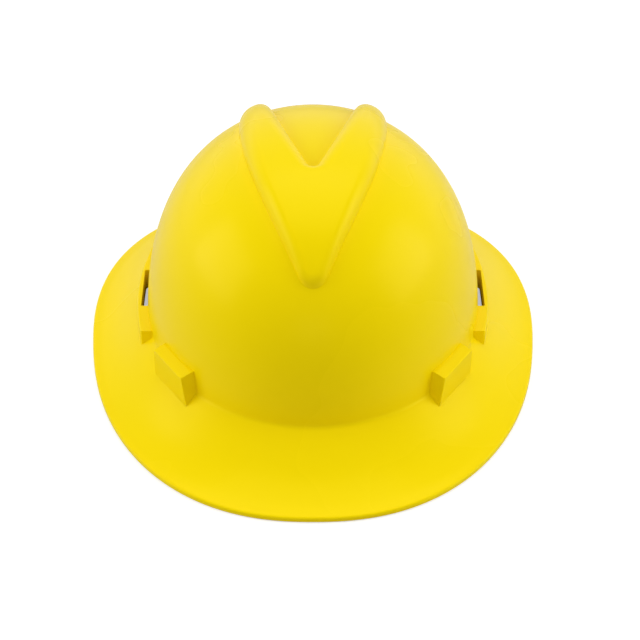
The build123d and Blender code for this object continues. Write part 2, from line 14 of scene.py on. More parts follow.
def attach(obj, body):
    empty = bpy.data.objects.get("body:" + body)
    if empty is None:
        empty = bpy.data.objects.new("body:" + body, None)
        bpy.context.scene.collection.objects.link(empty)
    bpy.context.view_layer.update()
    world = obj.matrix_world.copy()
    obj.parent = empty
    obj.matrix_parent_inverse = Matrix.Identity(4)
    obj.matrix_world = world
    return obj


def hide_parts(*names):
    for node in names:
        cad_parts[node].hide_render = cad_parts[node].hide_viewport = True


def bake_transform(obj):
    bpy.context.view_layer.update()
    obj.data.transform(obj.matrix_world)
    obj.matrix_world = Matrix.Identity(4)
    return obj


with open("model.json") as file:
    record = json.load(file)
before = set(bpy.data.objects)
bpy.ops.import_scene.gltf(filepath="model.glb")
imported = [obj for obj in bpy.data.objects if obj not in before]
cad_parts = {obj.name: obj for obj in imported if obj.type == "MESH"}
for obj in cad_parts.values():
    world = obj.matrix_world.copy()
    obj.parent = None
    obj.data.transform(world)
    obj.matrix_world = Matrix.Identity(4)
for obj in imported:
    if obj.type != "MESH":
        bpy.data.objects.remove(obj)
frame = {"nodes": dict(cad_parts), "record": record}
log = logging.getLogger("hard_hat")

MM = 0.001
WELD = 2e-6
TINY = 1e-9
UPRIGHT = 0.9
QUARTER = math.pi / 2
UP = Vector((0, 0, 1))

Piece = bpy.types.Object
Material = bpy.types.Material
Socket = bpy.types.NodeSocket
Colour = tuple[float, float, float]
Section = list[tuple[float, float]]
Line = list[tuple[Vector, Vector]]
Rim = tuple[Vector, Vector, float]


class Side(Enum):
    """Side of the wearer, as the sign of its X."""

    LEFT = 1
    RIGHT = -1


class Cut(Enum):
    """How one solid changes another."""

    ADD = "UNION"
    TAKE = "DIFFERENCE"


class Rank(Enum):
    """Which of the two crossed straps lies on top."""

    UNDER = 0
    OVER = 1


def deselect() -> None:
    """Leave edit mode and select nothing."""
    if bpy.context.object and bpy.context.object.mode != "OBJECT":
        bpy.ops.object.mode_set(mode="OBJECT")
    bpy.ops.object.select_all(action="DESELECT")


def activate(piece: Piece) -> None:
    """Select one piece alone and make it the active one.

    Args:
        piece: piece to select.
    """
    deselect()
    piece.select_set(True)
    bpy.context.view_layer.objects.active = piece


def edit(action: str) -> None:
    """Enter edit mode and select or deselect the whole mesh."""
    bpy.ops.object.mode_set(mode="EDIT")
    bpy.ops.mesh.select_all(action=action)


def patch(columns: int, rows: int, place: Callable[[float, float], Vector]) -> Piece:
    """Lay a grid primitive on a surface.

    Args:
        columns: faces along the first share.
        rows: faces along the second share.
        place: point of the surface for two shares from 0 to 1.

    Returns:
        The laid grid, with a UV map that holds the two shares.
    """
    deselect()
    bpy.ops.mesh.primitive_grid_add(x_subdivisions=columns, y_subdivisions=rows, size=2, location=(0, 0, 0))
    sheet = bpy.context.object
    for vertex in sheet.data.vertices:
        vertex.co = place((vertex.co.x + 1) / 2, (vertex.co.y + 1) / 2)
    return sheet


def joined(name: str, parts: Sequence[Piece]) -> Piece:
    """Join parts whose rims meet into one closed mesh with its faces outwards.

    Args:
        name: name of the piece.
        parts: meshes to join.

    Returns:
        The closed piece.
    """
    deselect()
    for part in parts:
        part.select_set(True)
    bpy.context.view_layer.objects.active = parts[0]
    if len(parts) > 1:
        bpy.ops.object.join()
    piece = bpy.context.object
    piece.name = piece.data.name = name
    edit("SELECT")
    bpy.ops.mesh.remove_doubles(threshold=WELD)
    bpy.ops.mesh.normals_make_consistent(inside=False)
    bpy.ops.object.mode_set(mode="OBJECT")
    return piece


def skinned(name: str, rows: Sequence[Sequence[Vector]]) -> Piece:
    """Closed piece whose skin is given point by point.

    Args:
        name: name of the piece.
        rows: equally long rows of points. Where the skin goes round, its start comes again as its end.

    Returns:
        The closed piece.
    """
    columns, steps = len(rows) - 1, len(rows[0]) - 1
    return joined(name, [patch(columns, steps, lambda u, v: rows[round(u * columns)][round(v * steps)])])


def prism(name: str, outline: Sequence[Vector], rise: Vector) -> Piece:
    """Upright or lying prism drawn out from a flat outline.

    Args:
        name: name of the piece.
        outline: corners in order.
        rise: how far and which way the outline is drawn out.

    Returns:
        The closed prism.
    """
    deselect()
    bpy.ops.mesh.primitive_circle_add(vertices=len(outline), fill_type="NGON", location=(0, 0, 0))
    piece = bpy.context.object
    for vertex, corner in zip(piece.data.vertices, outline):
        vertex.co = corner
    edit("SELECT")
    bpy.ops.mesh.extrude_region_move(TRANSFORM_OT_translate={"value": rise})
    bpy.ops.object.mode_set(mode="OBJECT")
    return joined(name, [piece])


def round_edges(piece: Piece, chosen: Callable[[Vector, Vector], bool], radius: float, steps: int) -> None:
    """Bevel the edges of a piece that pass a test.

    Args:
        piece: mesh to change.
        chosen: test of an edge's middle and of its direction.
        radius: width of the bevel.
        steps: faces across it.
    """
    activate(piece)
    edit("DESELECT")
    bpy.ops.mesh.select_mode(type="EDGE")
    bpy.ops.object.mode_set(mode="OBJECT")
    corners = piece.data.vertices
    for edge in piece.data.edges:
        first, second = (corners[index].co for index in edge.vertices)
        edge.select = chosen((first + second) / 2, (second - first).normalized())
    bpy.ops.object.mode_set(mode="EDIT")
    bpy.ops.mesh.bevel(offset=radius, segments=steps, profile=0.5, clamp_overlap=True)
    bpy.ops.mesh.select_mode(type="VERT")
    bpy.ops.object.mode_set(mode="OBJECT")


def modified(piece: Piece, kind: str, **values: object) -> None:
    """Add a modifier to a piece and apply it.

    Args:
        piece: mesh to change.
        kind: Blender's name of the modifier.
        values: the modifier's own settings.
    """
    activate(piece)
    step = piece.modifiers.new(kind.lower(), kind)
    for key, value in values.items():
        setattr(step, key, value)
    bpy.ops.object.modifier_apply(modifier=step.name)


def change(body: Piece, tool: Piece, how: Cut) -> None:
    """Add a solid to another or take it away, and use it up."""
    modified(body, "BOOLEAN", operation=how.value, solver="MANIFOLD", object=tool)
    bpy.data.objects.remove(tool)


def smooth(piece: Piece, sharp_degrees: float) -> None:
    """Shade a piece smoothly, but for the edges that turn by more than an angle."""
    activate(piece)
    bpy.ops.object.shade_smooth_by_angle(angle=math.radians(sharp_degrees))


def flat(x: float, y: float) -> Vector:
    """Point of the plan."""
    return Vector((x, y, 0))


def eased(value: float, first: float = 0.0, last: float = 1.0) -> float:
    """Soft step from 0 at the first value to 1 at the last."""
    share = min(1.0, max(0.0, (value - first) / (last - first)))
    return share * share * (3 - 2 * share)


def signed_power(value: float, power: float) -> float:
    """Power of a value's size, with the value's sign."""
    return math.copysign(abs(value) ** power, value)


def cubic(first: float | Vector, last: float | Vector, leaving: float | Vector, arriving: float | Vector,
          share: float) -> tuple[float | Vector, float | Vector]:
    """Place on a cubic between two ends.

    Args:
        first: start of the curve.
        last: end of the curve.
        leaving: slope at the start.
        arriving: slope at the end.
        share: how far along, from 0 to 1.

    Returns:
        The value there and its slope.
    """
    rest = 1 - share
    value = (first * (rest * rest * (1 + 2 * share)) + last * (share * share * (3 - 2 * share))
             + leaving * (share * rest * rest) - arriving * (share * share * rest))
    slope = ((last - first) * (6 * share * rest) + leaving * (rest * (1 - 3 * share))
             + arriving * (share * (3 * share - 2)))
    return value, slope


def rounded(start: Vector, corner: Vector, end: Vector, steps: int) -> list[Vector]:
    """Points of a rounded corner between two points, without them."""
    shares = [step / steps for step in range(1, steps)]
    return [start.lerp(corner, share).lerp(corner.lerp(end, share), share) for share in shares]


def circle_through(first: Vector, second: Vector, third: Vector) -> tuple[Vector, float]:
    """Flat circle through three points.

    Args:
        first: one point.
        second: another.
        third: the last.

    Returns:
        Its centre and its radius.
    """
    side_a, side_b = second - first, third - first
    twist = 2 * (side_a.x * side_b.y - side_a.y * side_b.x)
    along_a, along_b = side_a.length_squared, side_b.length_squared
    reach = flat(side_b.y * along_a - side_a.y * along_b, side_a.x * along_b - side_b.x * along_a)
    centre = first + reach / twist
    return centre, (centre - first).length


# Finishes


class Nodes:
    """Short way to add and link the nodes of one tree."""

    def __init__(self, tree: bpy.types.NodeTree) -> None:
        """Keep the tree that the nodes go into."""
        self.tree = tree

    def feed(self, value: object, target: Socket) -> None:
        """Link a socket to an input, or set the input's value.

        Args:
            value: socket or plain value.
            target: input that takes it.
        """
        if isinstance(value, Socket):
            self.tree.links.new(value, target)
        else:
            target.default_value = value

    def fill(self, node: bpy.types.Node, inputs: dict) -> None:
        """Link or set several inputs of a node by their names or numbers."""
        for key, value in inputs.items():
            self.feed(value, node.inputs[key])

    def add(self, kind: str, inputs: dict | None = None, **settings: object) -> bpy.types.Node:
        """Add a node.

        Args:
            kind: Blender's name of the node.
            inputs: value or linked socket for each named or numbered input.
            settings: the node's own settings.

        Returns:
            The new node.
        """
        node = self.tree.nodes.new(kind)
        for key, value in settings.items():
            setattr(node, key, value)
        self.fill(node, inputs or {})
        return node

    def math(self, operation: str, *values: object) -> Socket:
        """Result of a Math node."""
        return self.add("ShaderNodeMath", dict(enumerate(values)), operation=operation).outputs[0]

    def noise(self, vector: object, scale: object, detail: float, rough: float) -> Socket:
        """Value of a noise texture."""
        inputs = {"Vector": vector, "Scale": scale, "Detail": detail, "Roughness": rough}
        return self.add("ShaderNodeTexNoise", inputs).outputs[0]

    def tone(self, share: Socket, first: object, last: object) -> Socket:
        """Colour between two colours at a share."""
        return self.add("ShaderNodeMix", {0: share, 6: first, 7: last}, data_type="RGBA").outputs[2]

    def bump(self, height: Socket, depth: float) -> Socket:
        """Normal of a surface raised by a height at its full strength."""
        return self.add("ShaderNodeBump", {"Height": height, "Distance": depth, "Strength": 1.0}).outputs[0]


def new_group(name: str, inputs: dict[str, float], outputs: Sequence[str]) -> tuple[Nodes, dict, bpy.types.Node]:
    """Start a node group that works on a vector.

    Args:
        name: name of the group.
        inputs: its other inputs, with their values at the start.
        outputs: names of the numbers that it gives.

    Returns:
        Its nodes, the sockets of what it is given and the node that takes its results.
    """
    tree = bpy.data.node_groups.new(name, "ShaderNodeTree")
    tree.interface.new_socket(name="Vector", in_out="INPUT", socket_type="NodeSocketVector")
    for key, value in inputs.items():
        tree.interface.new_socket(name=key, in_out="INPUT", socket_type="NodeSocketFloat").default_value = value
    for key in outputs:
        tree.interface.new_socket(name=key, in_out="OUTPUT", socket_type="NodeSocketFloat")
    nodes = Nodes(tree)
    return nodes, nodes.add("NodeGroupInput").outputs, nodes.add("NodeGroupOutput")


def grain_effect() -> bpy.types.NodeTree:
    """Moulded surface: slow waviness with a finer grain on it, and a slow drift of tone.

    Returns:
        The node group.
    """
    sizes = {"Wave Scale": 200.0, "Grain Scale": 2500.0, "Grain Share": 0.3}
    nodes, given, result = new_group("moulded_grain", sizes, ("Height", "Drift"))
    wave = nodes.noise(given["Vector"], given["Wave Scale"], 1.0, 0.4)
    grain = nodes.noise(given["Vector"], given["Grain Scale"], 2.0, 0.6)
    slow = nodes.math("MULTIPLY", given["Wave Scale"], 0.06)
    nodes.fill(result, {"Height": nodes.math("ADD", wave, nodes.math("MULTIPLY", grain, given["Grain Share"])),
                        "Drift": nodes.noise(given["Vector"], slow, 3.0, 0.5)})
    return nodes.tree


def weave_effect() -> bpy.types.NodeTree:
    """Plain weave on coordinates that count threads: rounded threads that pass over and under.

    Returns:
        The node group.
    """
    nodes, given, result = new_group("plain_weave", {}, ("Height", "Gap"))
    parts = nodes.add("ShaderNodeSeparateXYZ", {0: given["Vector"]}).outputs[:2]
    ridges = [nodes.math("ABSOLUTE", nodes.math("SINE", nodes.math("MULTIPLY", part, math.pi))) for part in parts]
    odd = nodes.math("PINGPONG", nodes.math("ADD", *(nodes.math("FLOOR", part) for part in parts)), 1.0)
    warp, weft = (nodes.math("MULTIPLY", one, nodes.math("POWER", other, 0.5)) for one, other in (ridges, ridges[::-1]))
    mix = nodes.add("ShaderNodeMix", {0: odd, 2: warp, 3: weft}, data_type="FLOAT").outputs[0]
    nodes.fill(result, {"Height": mix, "Gap": nodes.math("SUBTRACT", 1.0, nodes.math("MAXIMUM", *ridges))})
    return nodes.tree


GRAIN = grain_effect()
WEAVE = weave_effect()


def new_material(name: str) -> tuple[Material, Nodes, bpy.types.Node]:
    """Start a material.

    Args:
        name: name of the material.

    Returns:
        The material, its nodes and its Principled shader.
    """
    material = bpy.data.materials.new(name)
    material.use_nodes = True
    return material, Nodes(material.node_tree), material.node_tree.nodes["Principled BSDF"]


def shade(colour: Colour, share: float = 1.0) -> tuple[float, float, float, float]:
    """Colour of a socket, made lighter or darker by a share."""
    return (*(min(1.0, part * share) for part in colour), 1.0)


@dataclass(frozen=True)
class MouldedPlastic:
    """Plain moulded plastic with a little waviness, grain and drift of tone."""

    name: str
    colour: Colour
    roughness: float
    tone_share: float = 0.04
    gloss_share: float = 0.06
    wave_size: float = 6 * MM
    grain_size: float = 0.4 * MM
    grain_share: float = 0.3
    depth: float = 0.02 * MM
    scatter: float = 0.0
    index: float = 1.5
    gloss_tint: Colour = (1.0, 1.0, 1.0)

    def build(self) -> Material:
        """Make the material.

        Returns:
            The new material.
        """
        material, nodes, shader = new_material(self.name)
        where = nodes.add("ShaderNodeTexCoord").outputs["Object"]
        effect = nodes.add("ShaderNodeGroup", node_tree=GRAIN)
        nodes.fill(effect, {"Vector": where, "Wave Scale": 1 / self.wave_size, "Grain Scale": 1 / self.grain_size,
                            "Grain Share": self.grain_share})
        drift = effect.outputs["Drift"]
        gloss = nodes.add("ShaderNodeMapRange", {0: drift, 1: 0.3, 2: 0.7, 3: self.roughness * (1 - self.gloss_share),
                                                 4: self.roughness * (1 + self.gloss_share)}).outputs[0]
        tone = nodes.tone(drift, shade(self.colour, 1 - self.tone_share), shade(self.colour, 1 + self.tone_share))
        nodes.fill(shader, {"Base Color": tone, "Roughness": gloss, "IOR": self.index,
                            "Normal": nodes.bump(effect.outputs["Height"], self.depth),
                            "Specular Tint": shade(self.gloss_tint), "Subsurface Weight": self.scatter,
                            "Subsurface Radius": (1.0, 0.6, 0.1), "Subsurface Scale": 1.5 * MM})
        return material


def cloth_surface(nodes: Nodes, threads: Socket, fuzz_scale: float, fuzz_share: float,
                  depth: float) -> tuple[Socket, Socket, Socket]:
    """Weave with some fuzz on it.

    Args:
        nodes: nodes of the cloth's material.
        threads: coordinates that count threads.
        fuzz_scale: how fine the fuzz is, in threads.
        fuzz_share: height of the fuzz beside the weave's.
        depth: height of the weave.

    Returns:
        The gap between threads, the fuzz and the normal.
    """
    weave = nodes.add("ShaderNodeGroup", node_tree=WEAVE)
    nodes.feed(threads, weave.inputs["Vector"])
    fuzz = nodes.noise(threads, fuzz_scale, 3.0, 0.7)
    raised = nodes.math("ADD", weave.outputs["Height"], nodes.math("MULTIPLY", fuzz, fuzz_share))
    return weave.outputs["Gap"], fuzz, nodes.bump(raised, depth)


@dataclass(frozen=True)
class WovenFabric:
    """Woven or knitted cloth whose threads follow the piece's UV map, with painted shade in the gaps between threads.
    """

    name: str
    colour: Colour
    length_threads: float
    width_threads: float
    depth: float = 0.12 * MM
    gap_shade_share: float = 0.55
    light_share: float = 1.25

    def build(self) -> Material:
        """Make the material.

        Returns:
            The new material.
        """
        material, nodes, shader = new_material(self.name)
        laid = nodes.add("ShaderNodeTexCoord").outputs["UV"]
        threads = nodes.add("ShaderNodeMapping", {0: laid, "Scale": (self.length_threads, self.width_threads, 1)})
        gap, fuzz, normal = cloth_surface(nodes, threads.outputs[0], 0.6, 0.4, self.depth)
        thread_tone = nodes.tone(fuzz, shade(self.colour), shade(self.colour, self.light_share))
        # Painted shade: the colour is darker in the gaps between the threads.
        tone = nodes.tone(gap, thread_tone, shade(self.colour, 1 - self.gap_shade_share))
        nodes.fill(shader, {"Base Color": tone, "Normal": normal, "Roughness": 0.85, "Sheen Weight": 0.25,
                            "Sheen Roughness": 0.5})
        return material


@dataclass(frozen=True)
class SoftKnit:
    """Fine knit over foam on a piece without a UV map: crossed rows of small loops."""

    name: str
    colour: Colour
    pitch: float = 0.7 * MM
    depth: float = 0.1 * MM
    tone_share: float = 0.5

    def build(self) -> Material:
        """Make the material.

        Returns:
            The new material.
        """
        material, nodes, shader = new_material(self.name)
        where = nodes.add("ShaderNodeTexCoord").outputs["Object"]
        loops = nodes.add("ShaderNodeMapping", {0: where, "Rotation": (-QUARTER, 0, 0), "Scale": (1 / self.pitch,) * 3})
        _, fuzz, normal = cloth_surface(nodes, loops.outputs[0], 0.7, 0.5, self.depth)
        tone = nodes.tone(fuzz, shade(self.colour, 1 - self.tone_share), shade(self.colour, 1 + self.tone_share))
        nodes.fill(shader, {"Base Color": tone, "Normal": normal, "Roughness": 0.9, "Sheen Weight": 0.25})
        return material


@dataclass(frozen=True)
class PlatedMetal:
    """Plated screw metal with fine marks and a faint stain."""

    name: str
    colour: Colour
    roughness: float

    def build(self) -> Material:
        """Make the material.

        Returns:
            The new material.
        """
        material, nodes, shader = new_material(self.name)
        where = nodes.add("ShaderNodeTexCoord").outputs["Object"]
        marks = nodes.noise(where, 3000.0, 2.0, 0.6)
        gloss = nodes.add("ShaderNodeMapRange", {0: marks, 3: self.roughness * 0.8, 4: self.roughness * 1.3})
        tone = nodes.tone(nodes.noise(where, 250.0, 3.0, 0.6), shade(self.colour), shade(self.colour, 0.8))
        nodes.fill(shader, {"Base Color": tone, "Roughness": gloss.outputs[0], "Metallic": 1.0})
        return material


def dress(piece: Piece, material: Material) -> None:
    """Give a piece one material all over.

    Args:
        piece: piece to dress.
        material: its finish.
    """
    if piece.material_slots:
        for slot in piece.material_slots:
            slot.material = material
    else:
        piece.data.materials.append(material)


def stand_in(piece: Piece, material: Material, node: str, body: str = "") -> None:
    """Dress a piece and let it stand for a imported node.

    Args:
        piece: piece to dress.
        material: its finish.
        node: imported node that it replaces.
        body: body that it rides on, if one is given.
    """
    dress(piece, material)
    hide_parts(node)
    if body:
        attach(piece, body)


# Shell


@dataclass
class Dome:
    """Dome turned from one curve and drawn out lengthwise."""

    half_width: float = 102.5 * MM
    half_length: float = 121.0 * MM
    middle_y: float = 9.0 * MM
    top_z: float = 143.0 * MM
    foot_z: float = 21.0 * MM
    side_fullness_share: float = 0.675
    crown_fullness_share: float = 0.657
    samples: int = 600
    halvings: int = 40

    def __post_init__(self) -> None:
        """Sample the curve once, from the crown down, for the heights."""
        self.table = [self.curve(1 - step / self.samples) for step in range(self.samples + 1)]

    def curve(self, share: float) -> tuple[float, float]:
        """Work out the dome's side.

        Args:
            share: how far up the curve, from the foot, 0, to the crown, 1.

        Returns:
            Reach from the axis and height.
        """
        rest = 1 - share
        shoulder_z = self.foot_z + self.side_fullness_share * (self.top_z - self.foot_z)
        weights = (rest ** 3, 3 * share * rest ** 2, 3 * share ** 2 * rest, share ** 3)
        reaches = (1.0, 1.0, self.crown_fullness_share, 0.0)
        heights = (self.foot_z, shoulder_z, self.top_z, self.top_z)
        reach = self.half_width * sum(w * r for w, r in zip(weights, reaches))
        return reach, sum(w * z for w, z in zip(weights, heights))

    def share_at(self, height: float) -> float:
        """Find a height on the dome's side.

        Args:
            height: height to find.

        Returns:
            Its share of the curve.
        """
        low, high = 0.0, 1.0
        for _ in range(self.halvings):
            middle = (low + high) / 2
            low, high = (middle, high) if self.curve(middle)[1] < height else (low, middle)
        return low

    def point(self, share: float, turn: float) -> Vector:
        """Find a point of the dome.

        Args:
            share: share of the curve, from the foot to the crown.
            turn: turn about the axis.

        Returns:
            The point.
        """
        reach, height = self.curve(share)
        along = self.half_length / self.half_width
        return Vector((reach * math.cos(turn), self.middle_y + along * reach * math.sin(turn), height))

    def height(self, x: float, y: float) -> float:
        """Find the dome over a point of the plan.

        Args:
            x: place across.
            y: place along.

        Returns:
            Height of the dome there.
        """
        along = (y - self.middle_y) * self.half_width / self.half_length
        reach = min(math.hypot(x, along), self.half_width)
        low, high = 0, self.samples
        while high - low > 1:
            middle = (low + high) // 2
            low, high = (middle, high) if self.table[middle][0] < reach else (low, middle)
        (near, top), (far, bottom) = self.table[low], self.table[high]
        return top + (bottom - top) * (reach - near) / max(far - near, TINY)

    def grown(self, inset: float, lift: float) -> "Dome":
        """The same dome drawn in by a wall and lifted at its crown."""
        return replace(self, half_width=self.half_width - inset, half_length=self.half_length - inset,
                       top_z=self.top_z - inset + lift)

    def foot_point(self, turn: float) -> Vector:
        """Point of the foot in the plan, at a turn."""
        return flat(self.half_width * math.cos(turn), self.middle_y + self.half_length * math.sin(turn))

    def foot_place(self, side: Side, y: float) -> Matrix:
        """Find a place on the foot.

        Args:
            side: side of the wearer.
            y: place along the dome.

        Returns:
            The place, whose X points out of the dome and whose Z points up.
        """
        x = side.value * self.half_width * math.sqrt(1 - ((y - self.middle_y) / self.half_length) ** 2)
        heading = math.atan2((y - self.middle_y) / self.half_length ** 2, x / self.half_width ** 2)
        return Matrix.Translation((x, y, 0)) @ Matrix.Rotation(heading, 4, "Z")


@dataclass
class Brim:
    """Brim between its level edge and the dome's foot."""

    half_width: float = 138.0 * MM
    half_length: float = 161.0 * MM
    roundness: float = 2.32
    rear_flare_share: float = 0.11
    edge_height: float = 3.0 * MM
    crease_z: float = 28.0 * MM
    wall: float = 2.8 * MM
    run_shares: tuple[float, ...] = (0.0, 0.18, 0.45, 0.75, 1.0, 1.22)
    rise_shares: tuple[float, ...] = (0.0, 0.09, 0.32, 0.68, 1.0, 1.22)

    def edge(self, turn: float, inset: float) -> Vector:
        """Find the edge.

        Args:
            turn: turn about the axis.
            inset: how far it is drawn in.

        Returns:
            Its point in the plan.
        """
        across, along = math.cos(turn), math.sin(turn)
        reach = (abs(across) ** self.roundness + abs(along) ** self.roundness) ** (-1 / self.roundness)
        flare = 1 + self.rear_flare_share * along
        return flat((self.half_width - inset) * reach * across * flare, (self.half_length - inset) * reach * along)

    def slope(self, index: int) -> float:
        """Slope of the rise at one of the given shares."""
        before, after = max(index - 1, 0), min(index + 1, len(self.run_shares) - 1)
        return (self.rise_shares[after] - self.rise_shares[before]) / (self.run_shares[after] - self.run_shares[before])

    def rise(self, run: float) -> float:
        """Follow a smooth curve through the given shares.

        Args:
            run: share of the way from the edge to the dome.

        Returns:
            Share of the rise.
        """
        index = max(0, min(len(self.run_shares) - 2, sum(1 for value in self.run_shares if value <= run) - 1))
        first, last = self.run_shares[index:index + 2]
        width = last - first
        return cubic(*self.rise_shares[index:index + 2], self.slope(index) * width, self.slope(index + 1) * width,
                     (run - first) / width)[0]

    def point(self, dome: Dome, run: float, turn: float, drop: float) -> Vector:
        """Find a point of the brim's upper or lower face.

        Args:
            dome: dome whose foot it runs to.
            run: share of the way from the edge, 0, to the dome, 1.
            turn: turn about the axis.
            drop: how far the face is drawn in and down.

        Returns:
            The point.
        """
        height = self.edge_height - drop + (self.crease_z - self.edge_height) * self.rise(run)
        return self.edge(turn, drop).lerp(dome.foot_point(turn), run) + UP * height


@dataclass(frozen=True)
class Arc:
    """Arc in the plan. Its outward side is away from its centre, 1, or towards it, -1."""

    centre: Vector
    radius: float
    start: float
    end: float
    outward: int

    def length(self) -> float:
        """Length of the arc."""
        return self.radius * abs(self.end - self.start)

    def at(self, share: float) -> tuple[Vector, Vector]:
        """Follow the arc.

        Args:
            share: how far along it.

        Returns:
            Point and outward direction.
        """
        turn = self.start + (self.end - self.start) * share
        across, along = math.cos(turn), math.sin(turn)
        point = flat(self.centre.x + self.radius * across, self.centre.y + self.radius * along)
        return point, self.outward * flat(across, along)


@dataclass
class Ridge:
    """Raised V on the crown: a rounded tip at the brow and two arms running back."""

    lift: float = 8.5 * MM
    outer_radii: tuple[float, float, float] = (9.0 * MM, 16.0 * MM, 10.0 * MM)
    inner_radii: tuple[float, float, float] = (8.0 * MM, 8.4 * MM, 5.0 * MM)
    radius_ys: tuple[float, float, float] = (-30.0 * MM, 64.0 * MM, 100.0 * MM)
    floor_z: float = 84.0 * MM
    tip_y: float = -95.0 * MM
    tip_radius: float = 9.8 * MM
    notch_y: float = -20.2 * MM
    notch_radius: float = 2.3 * MM
    side_y: float = -38.0 * MM
    side_half_width: float = 28.5 * MM
    groove_y: float = 17.0 * MM
    groove_half_width: float = 14.3 * MM
    end_y: float = 100.0 * MM
    end_outer_half_width: float = 42.3 * MM
    end_inner_half_width: float = 26.5 * MM
    end_radius: float = 6.0 * MM
    notch_step: int = 46
    steps: int = 130
    width_steps: int = 12
    edge_steps: int = 9
    outer_crowding: float = 1.2
    inner_crowding: float = 1.6

    def __post_init__(self) -> None:
        """Work out the arcs of one half of the plan."""
        outer, outer_radius = circle_through(flat(0, self.tip_y), flat(self.side_half_width, self.side_y),
                                             flat(self.end_outer_half_width, self.end_y))
        inner, inner_radius = circle_through(flat(0, self.notch_y), flat(self.groove_half_width, self.groove_y),
                                             flat(self.end_inner_half_width, self.end_y))
        tip = flat(0, self.on_axis(outer, outer_radius - self.tip_radius))
        notch = flat(0, self.on_axis(inner, inner_radius - self.notch_radius))
        corner_y = self.end_y - self.end_radius
        outer_end = flat(self.on_level(outer, outer_radius - self.end_radius, corner_y), corner_y)
        inner_end = flat(self.on_level(inner, inner_radius + self.end_radius, corner_y), corner_y)
        tip_turn, end_turn = self.turn_of(tip - outer), self.turn_of(outer_end - outer)
        notch_turn, back_turn = self.turn_of(notch - inner), self.turn_of(inner_end - inner)
        self.outer_arcs = [Arc(tip, self.tip_radius, -QUARTER, tip_turn, 1),
                           Arc(outer, outer_radius, tip_turn, end_turn, 1),
                           Arc(outer_end, self.end_radius, end_turn, QUARTER, 1)]
        self.inner_arcs = [Arc(notch, self.notch_radius, -QUARTER, notch_turn, -1),
                           Arc(inner, inner_radius, notch_turn, back_turn, -1),
                           Arc(inner_end, self.end_radius, back_turn + 2 * QUARTER, QUARTER, 1)]

    @staticmethod
    def turn_of(way: Vector) -> float:
        """Turn of a flat direction, in radians."""
        return math.atan2(way.y, way.x)

    @staticmethod
    def on_axis(centre: Vector, distance: float) -> float:
        """Y of the foremost point of the middle line at a distance from a centre."""
        return centre.y - math.sqrt(distance ** 2 - centre.x ** 2)

    @staticmethod
    def on_level(centre: Vector, distance: float, y: float) -> float:
        """X of the outer point at a level and at a distance from a centre."""
        return centre.x + math.sqrt(distance ** 2 - (y - centre.y) ** 2)

    def radius_at(self, y: float, radii: tuple[float, float, float]) -> float:
        """Work out the edge radius at a level.

        Args:
            y: place along the V.
            radii: edge radii at the front, at the crest and at the rear.

        Returns:
            The radius there.
        """
        stretch = 0 if y < self.radius_ys[1] else 1
        share = eased(y, *self.radius_ys[stretch:stretch + 2])
        return radii[stretch] + (radii[stretch + 1] - radii[stretch]) * share

    def rim(self, arcs: list[Arc], share: float, radii: tuple[float, float, float]) -> Rim:
        """Follow a rim of the V.

        Args:
            arcs: arcs of the rim in order.
            share: how far along them.
            radii: edge radii at the front, at the crest and at the rear.

        Returns:
            Point, outward direction and edge radius.
        """
        arcs = list(arcs)
        left = share * sum(arc.length() for arc in arcs)
        while len(arcs) > 1 and left > arcs[0].length():
            left -= arcs.pop(0).length()
        point, outward = arcs[0].at(min(1.0, left / arcs[0].length()))
        return point, outward, self.radius_at(point.y, radii)

    def outer_rim(self, step: float) -> Rim:
        """Outer rim at a step."""
        return self.rim(self.outer_arcs, (step / self.steps) ** self.outer_crowding, self.outer_radii)

    def inner_rim(self, step: float) -> Rim:
        """Inner rim at a step past the notch."""
        share = max(0.0, (step - self.notch_step) / (self.steps - self.notch_step))
        return self.rim(self.inner_arcs, share ** self.inner_crowding, self.inner_radii)

    def end_rim(self, share: float) -> Rim:
        """Follow the end of an arm.

        Args:
            share: share of the way from its inner rim to its outer one.

        Returns:
            Point, outward direction and edge radius.
        """
        first, _, first_radius = self.inner_rim(self.steps)
        last, _, last_radius = self.outer_rim(self.steps)
        return first.lerp(last, share), Vector((0, 1, 0)), first_radius + (last_radius - first_radius) * share

    def edge_point(self, dome: Dome, rim: Rim, inset: float, share: float) -> Vector:
        """Find a point of the rounded edge.

        Args:
            dome: raised dome that the top follows.
            rim: point, outward direction and edge radius.
            inset: how far the sides are drawn in.
            share: how far down the rounding, from the top, 0, to the side, 1.

        Returns:
            The point.
        """
        point, outward, radius = rim
        radius -= inset
        corner = point - outward * inset
        height = dome.height(corner.x, corner.y)
        ahead = corner - outward * radius / 2
        slope = math.atan2(dome.height(ahead.x, ahead.y) - height, radius / 2)
        half_turn = (QUARTER - slope) / 2
        reach = radius * math.tan(half_turn)
        top = corner - outward * reach * math.cos(slope)
        start = Vector((top.x, top.y, dome.height(top.x, top.y)))
        middle = Vector((corner.x, corner.y, height))
        end = middle - UP * reach
        weights = ((1 - share) ** 2, 2 * share * (1 - share) * math.cos(half_turn), share ** 2)
        return (start * weights[0] + middle * weights[1] + end * weights[2]) / sum(weights)

    def across_point(self, dome: Dome, inset: float, step: float, across: float, share: float) -> Vector:
        """Find a point between the two rims of an arm.

        Args:
            dome: raised dome that the top follows.
            inset: how far the sides are drawn in.
            step: place along the arm.
            across: share of the way from the inner rim or the middle line to the outer rim.
            share: how far down the rounding of the edges.

        Returns:
            The point, level with the edges.
        """
        first = self.edge_point(dome, self.inner_rim(max(step, self.notch_step)), inset, share)
        if step < self.notch_step:
            tip = self.edge_point(dome, self.outer_rim(0), inset, share)
            first = tip.lerp(first, step / self.notch_step)
        return first.lerp(self.edge_point(dome, self.outer_rim(step), inset, share), across)

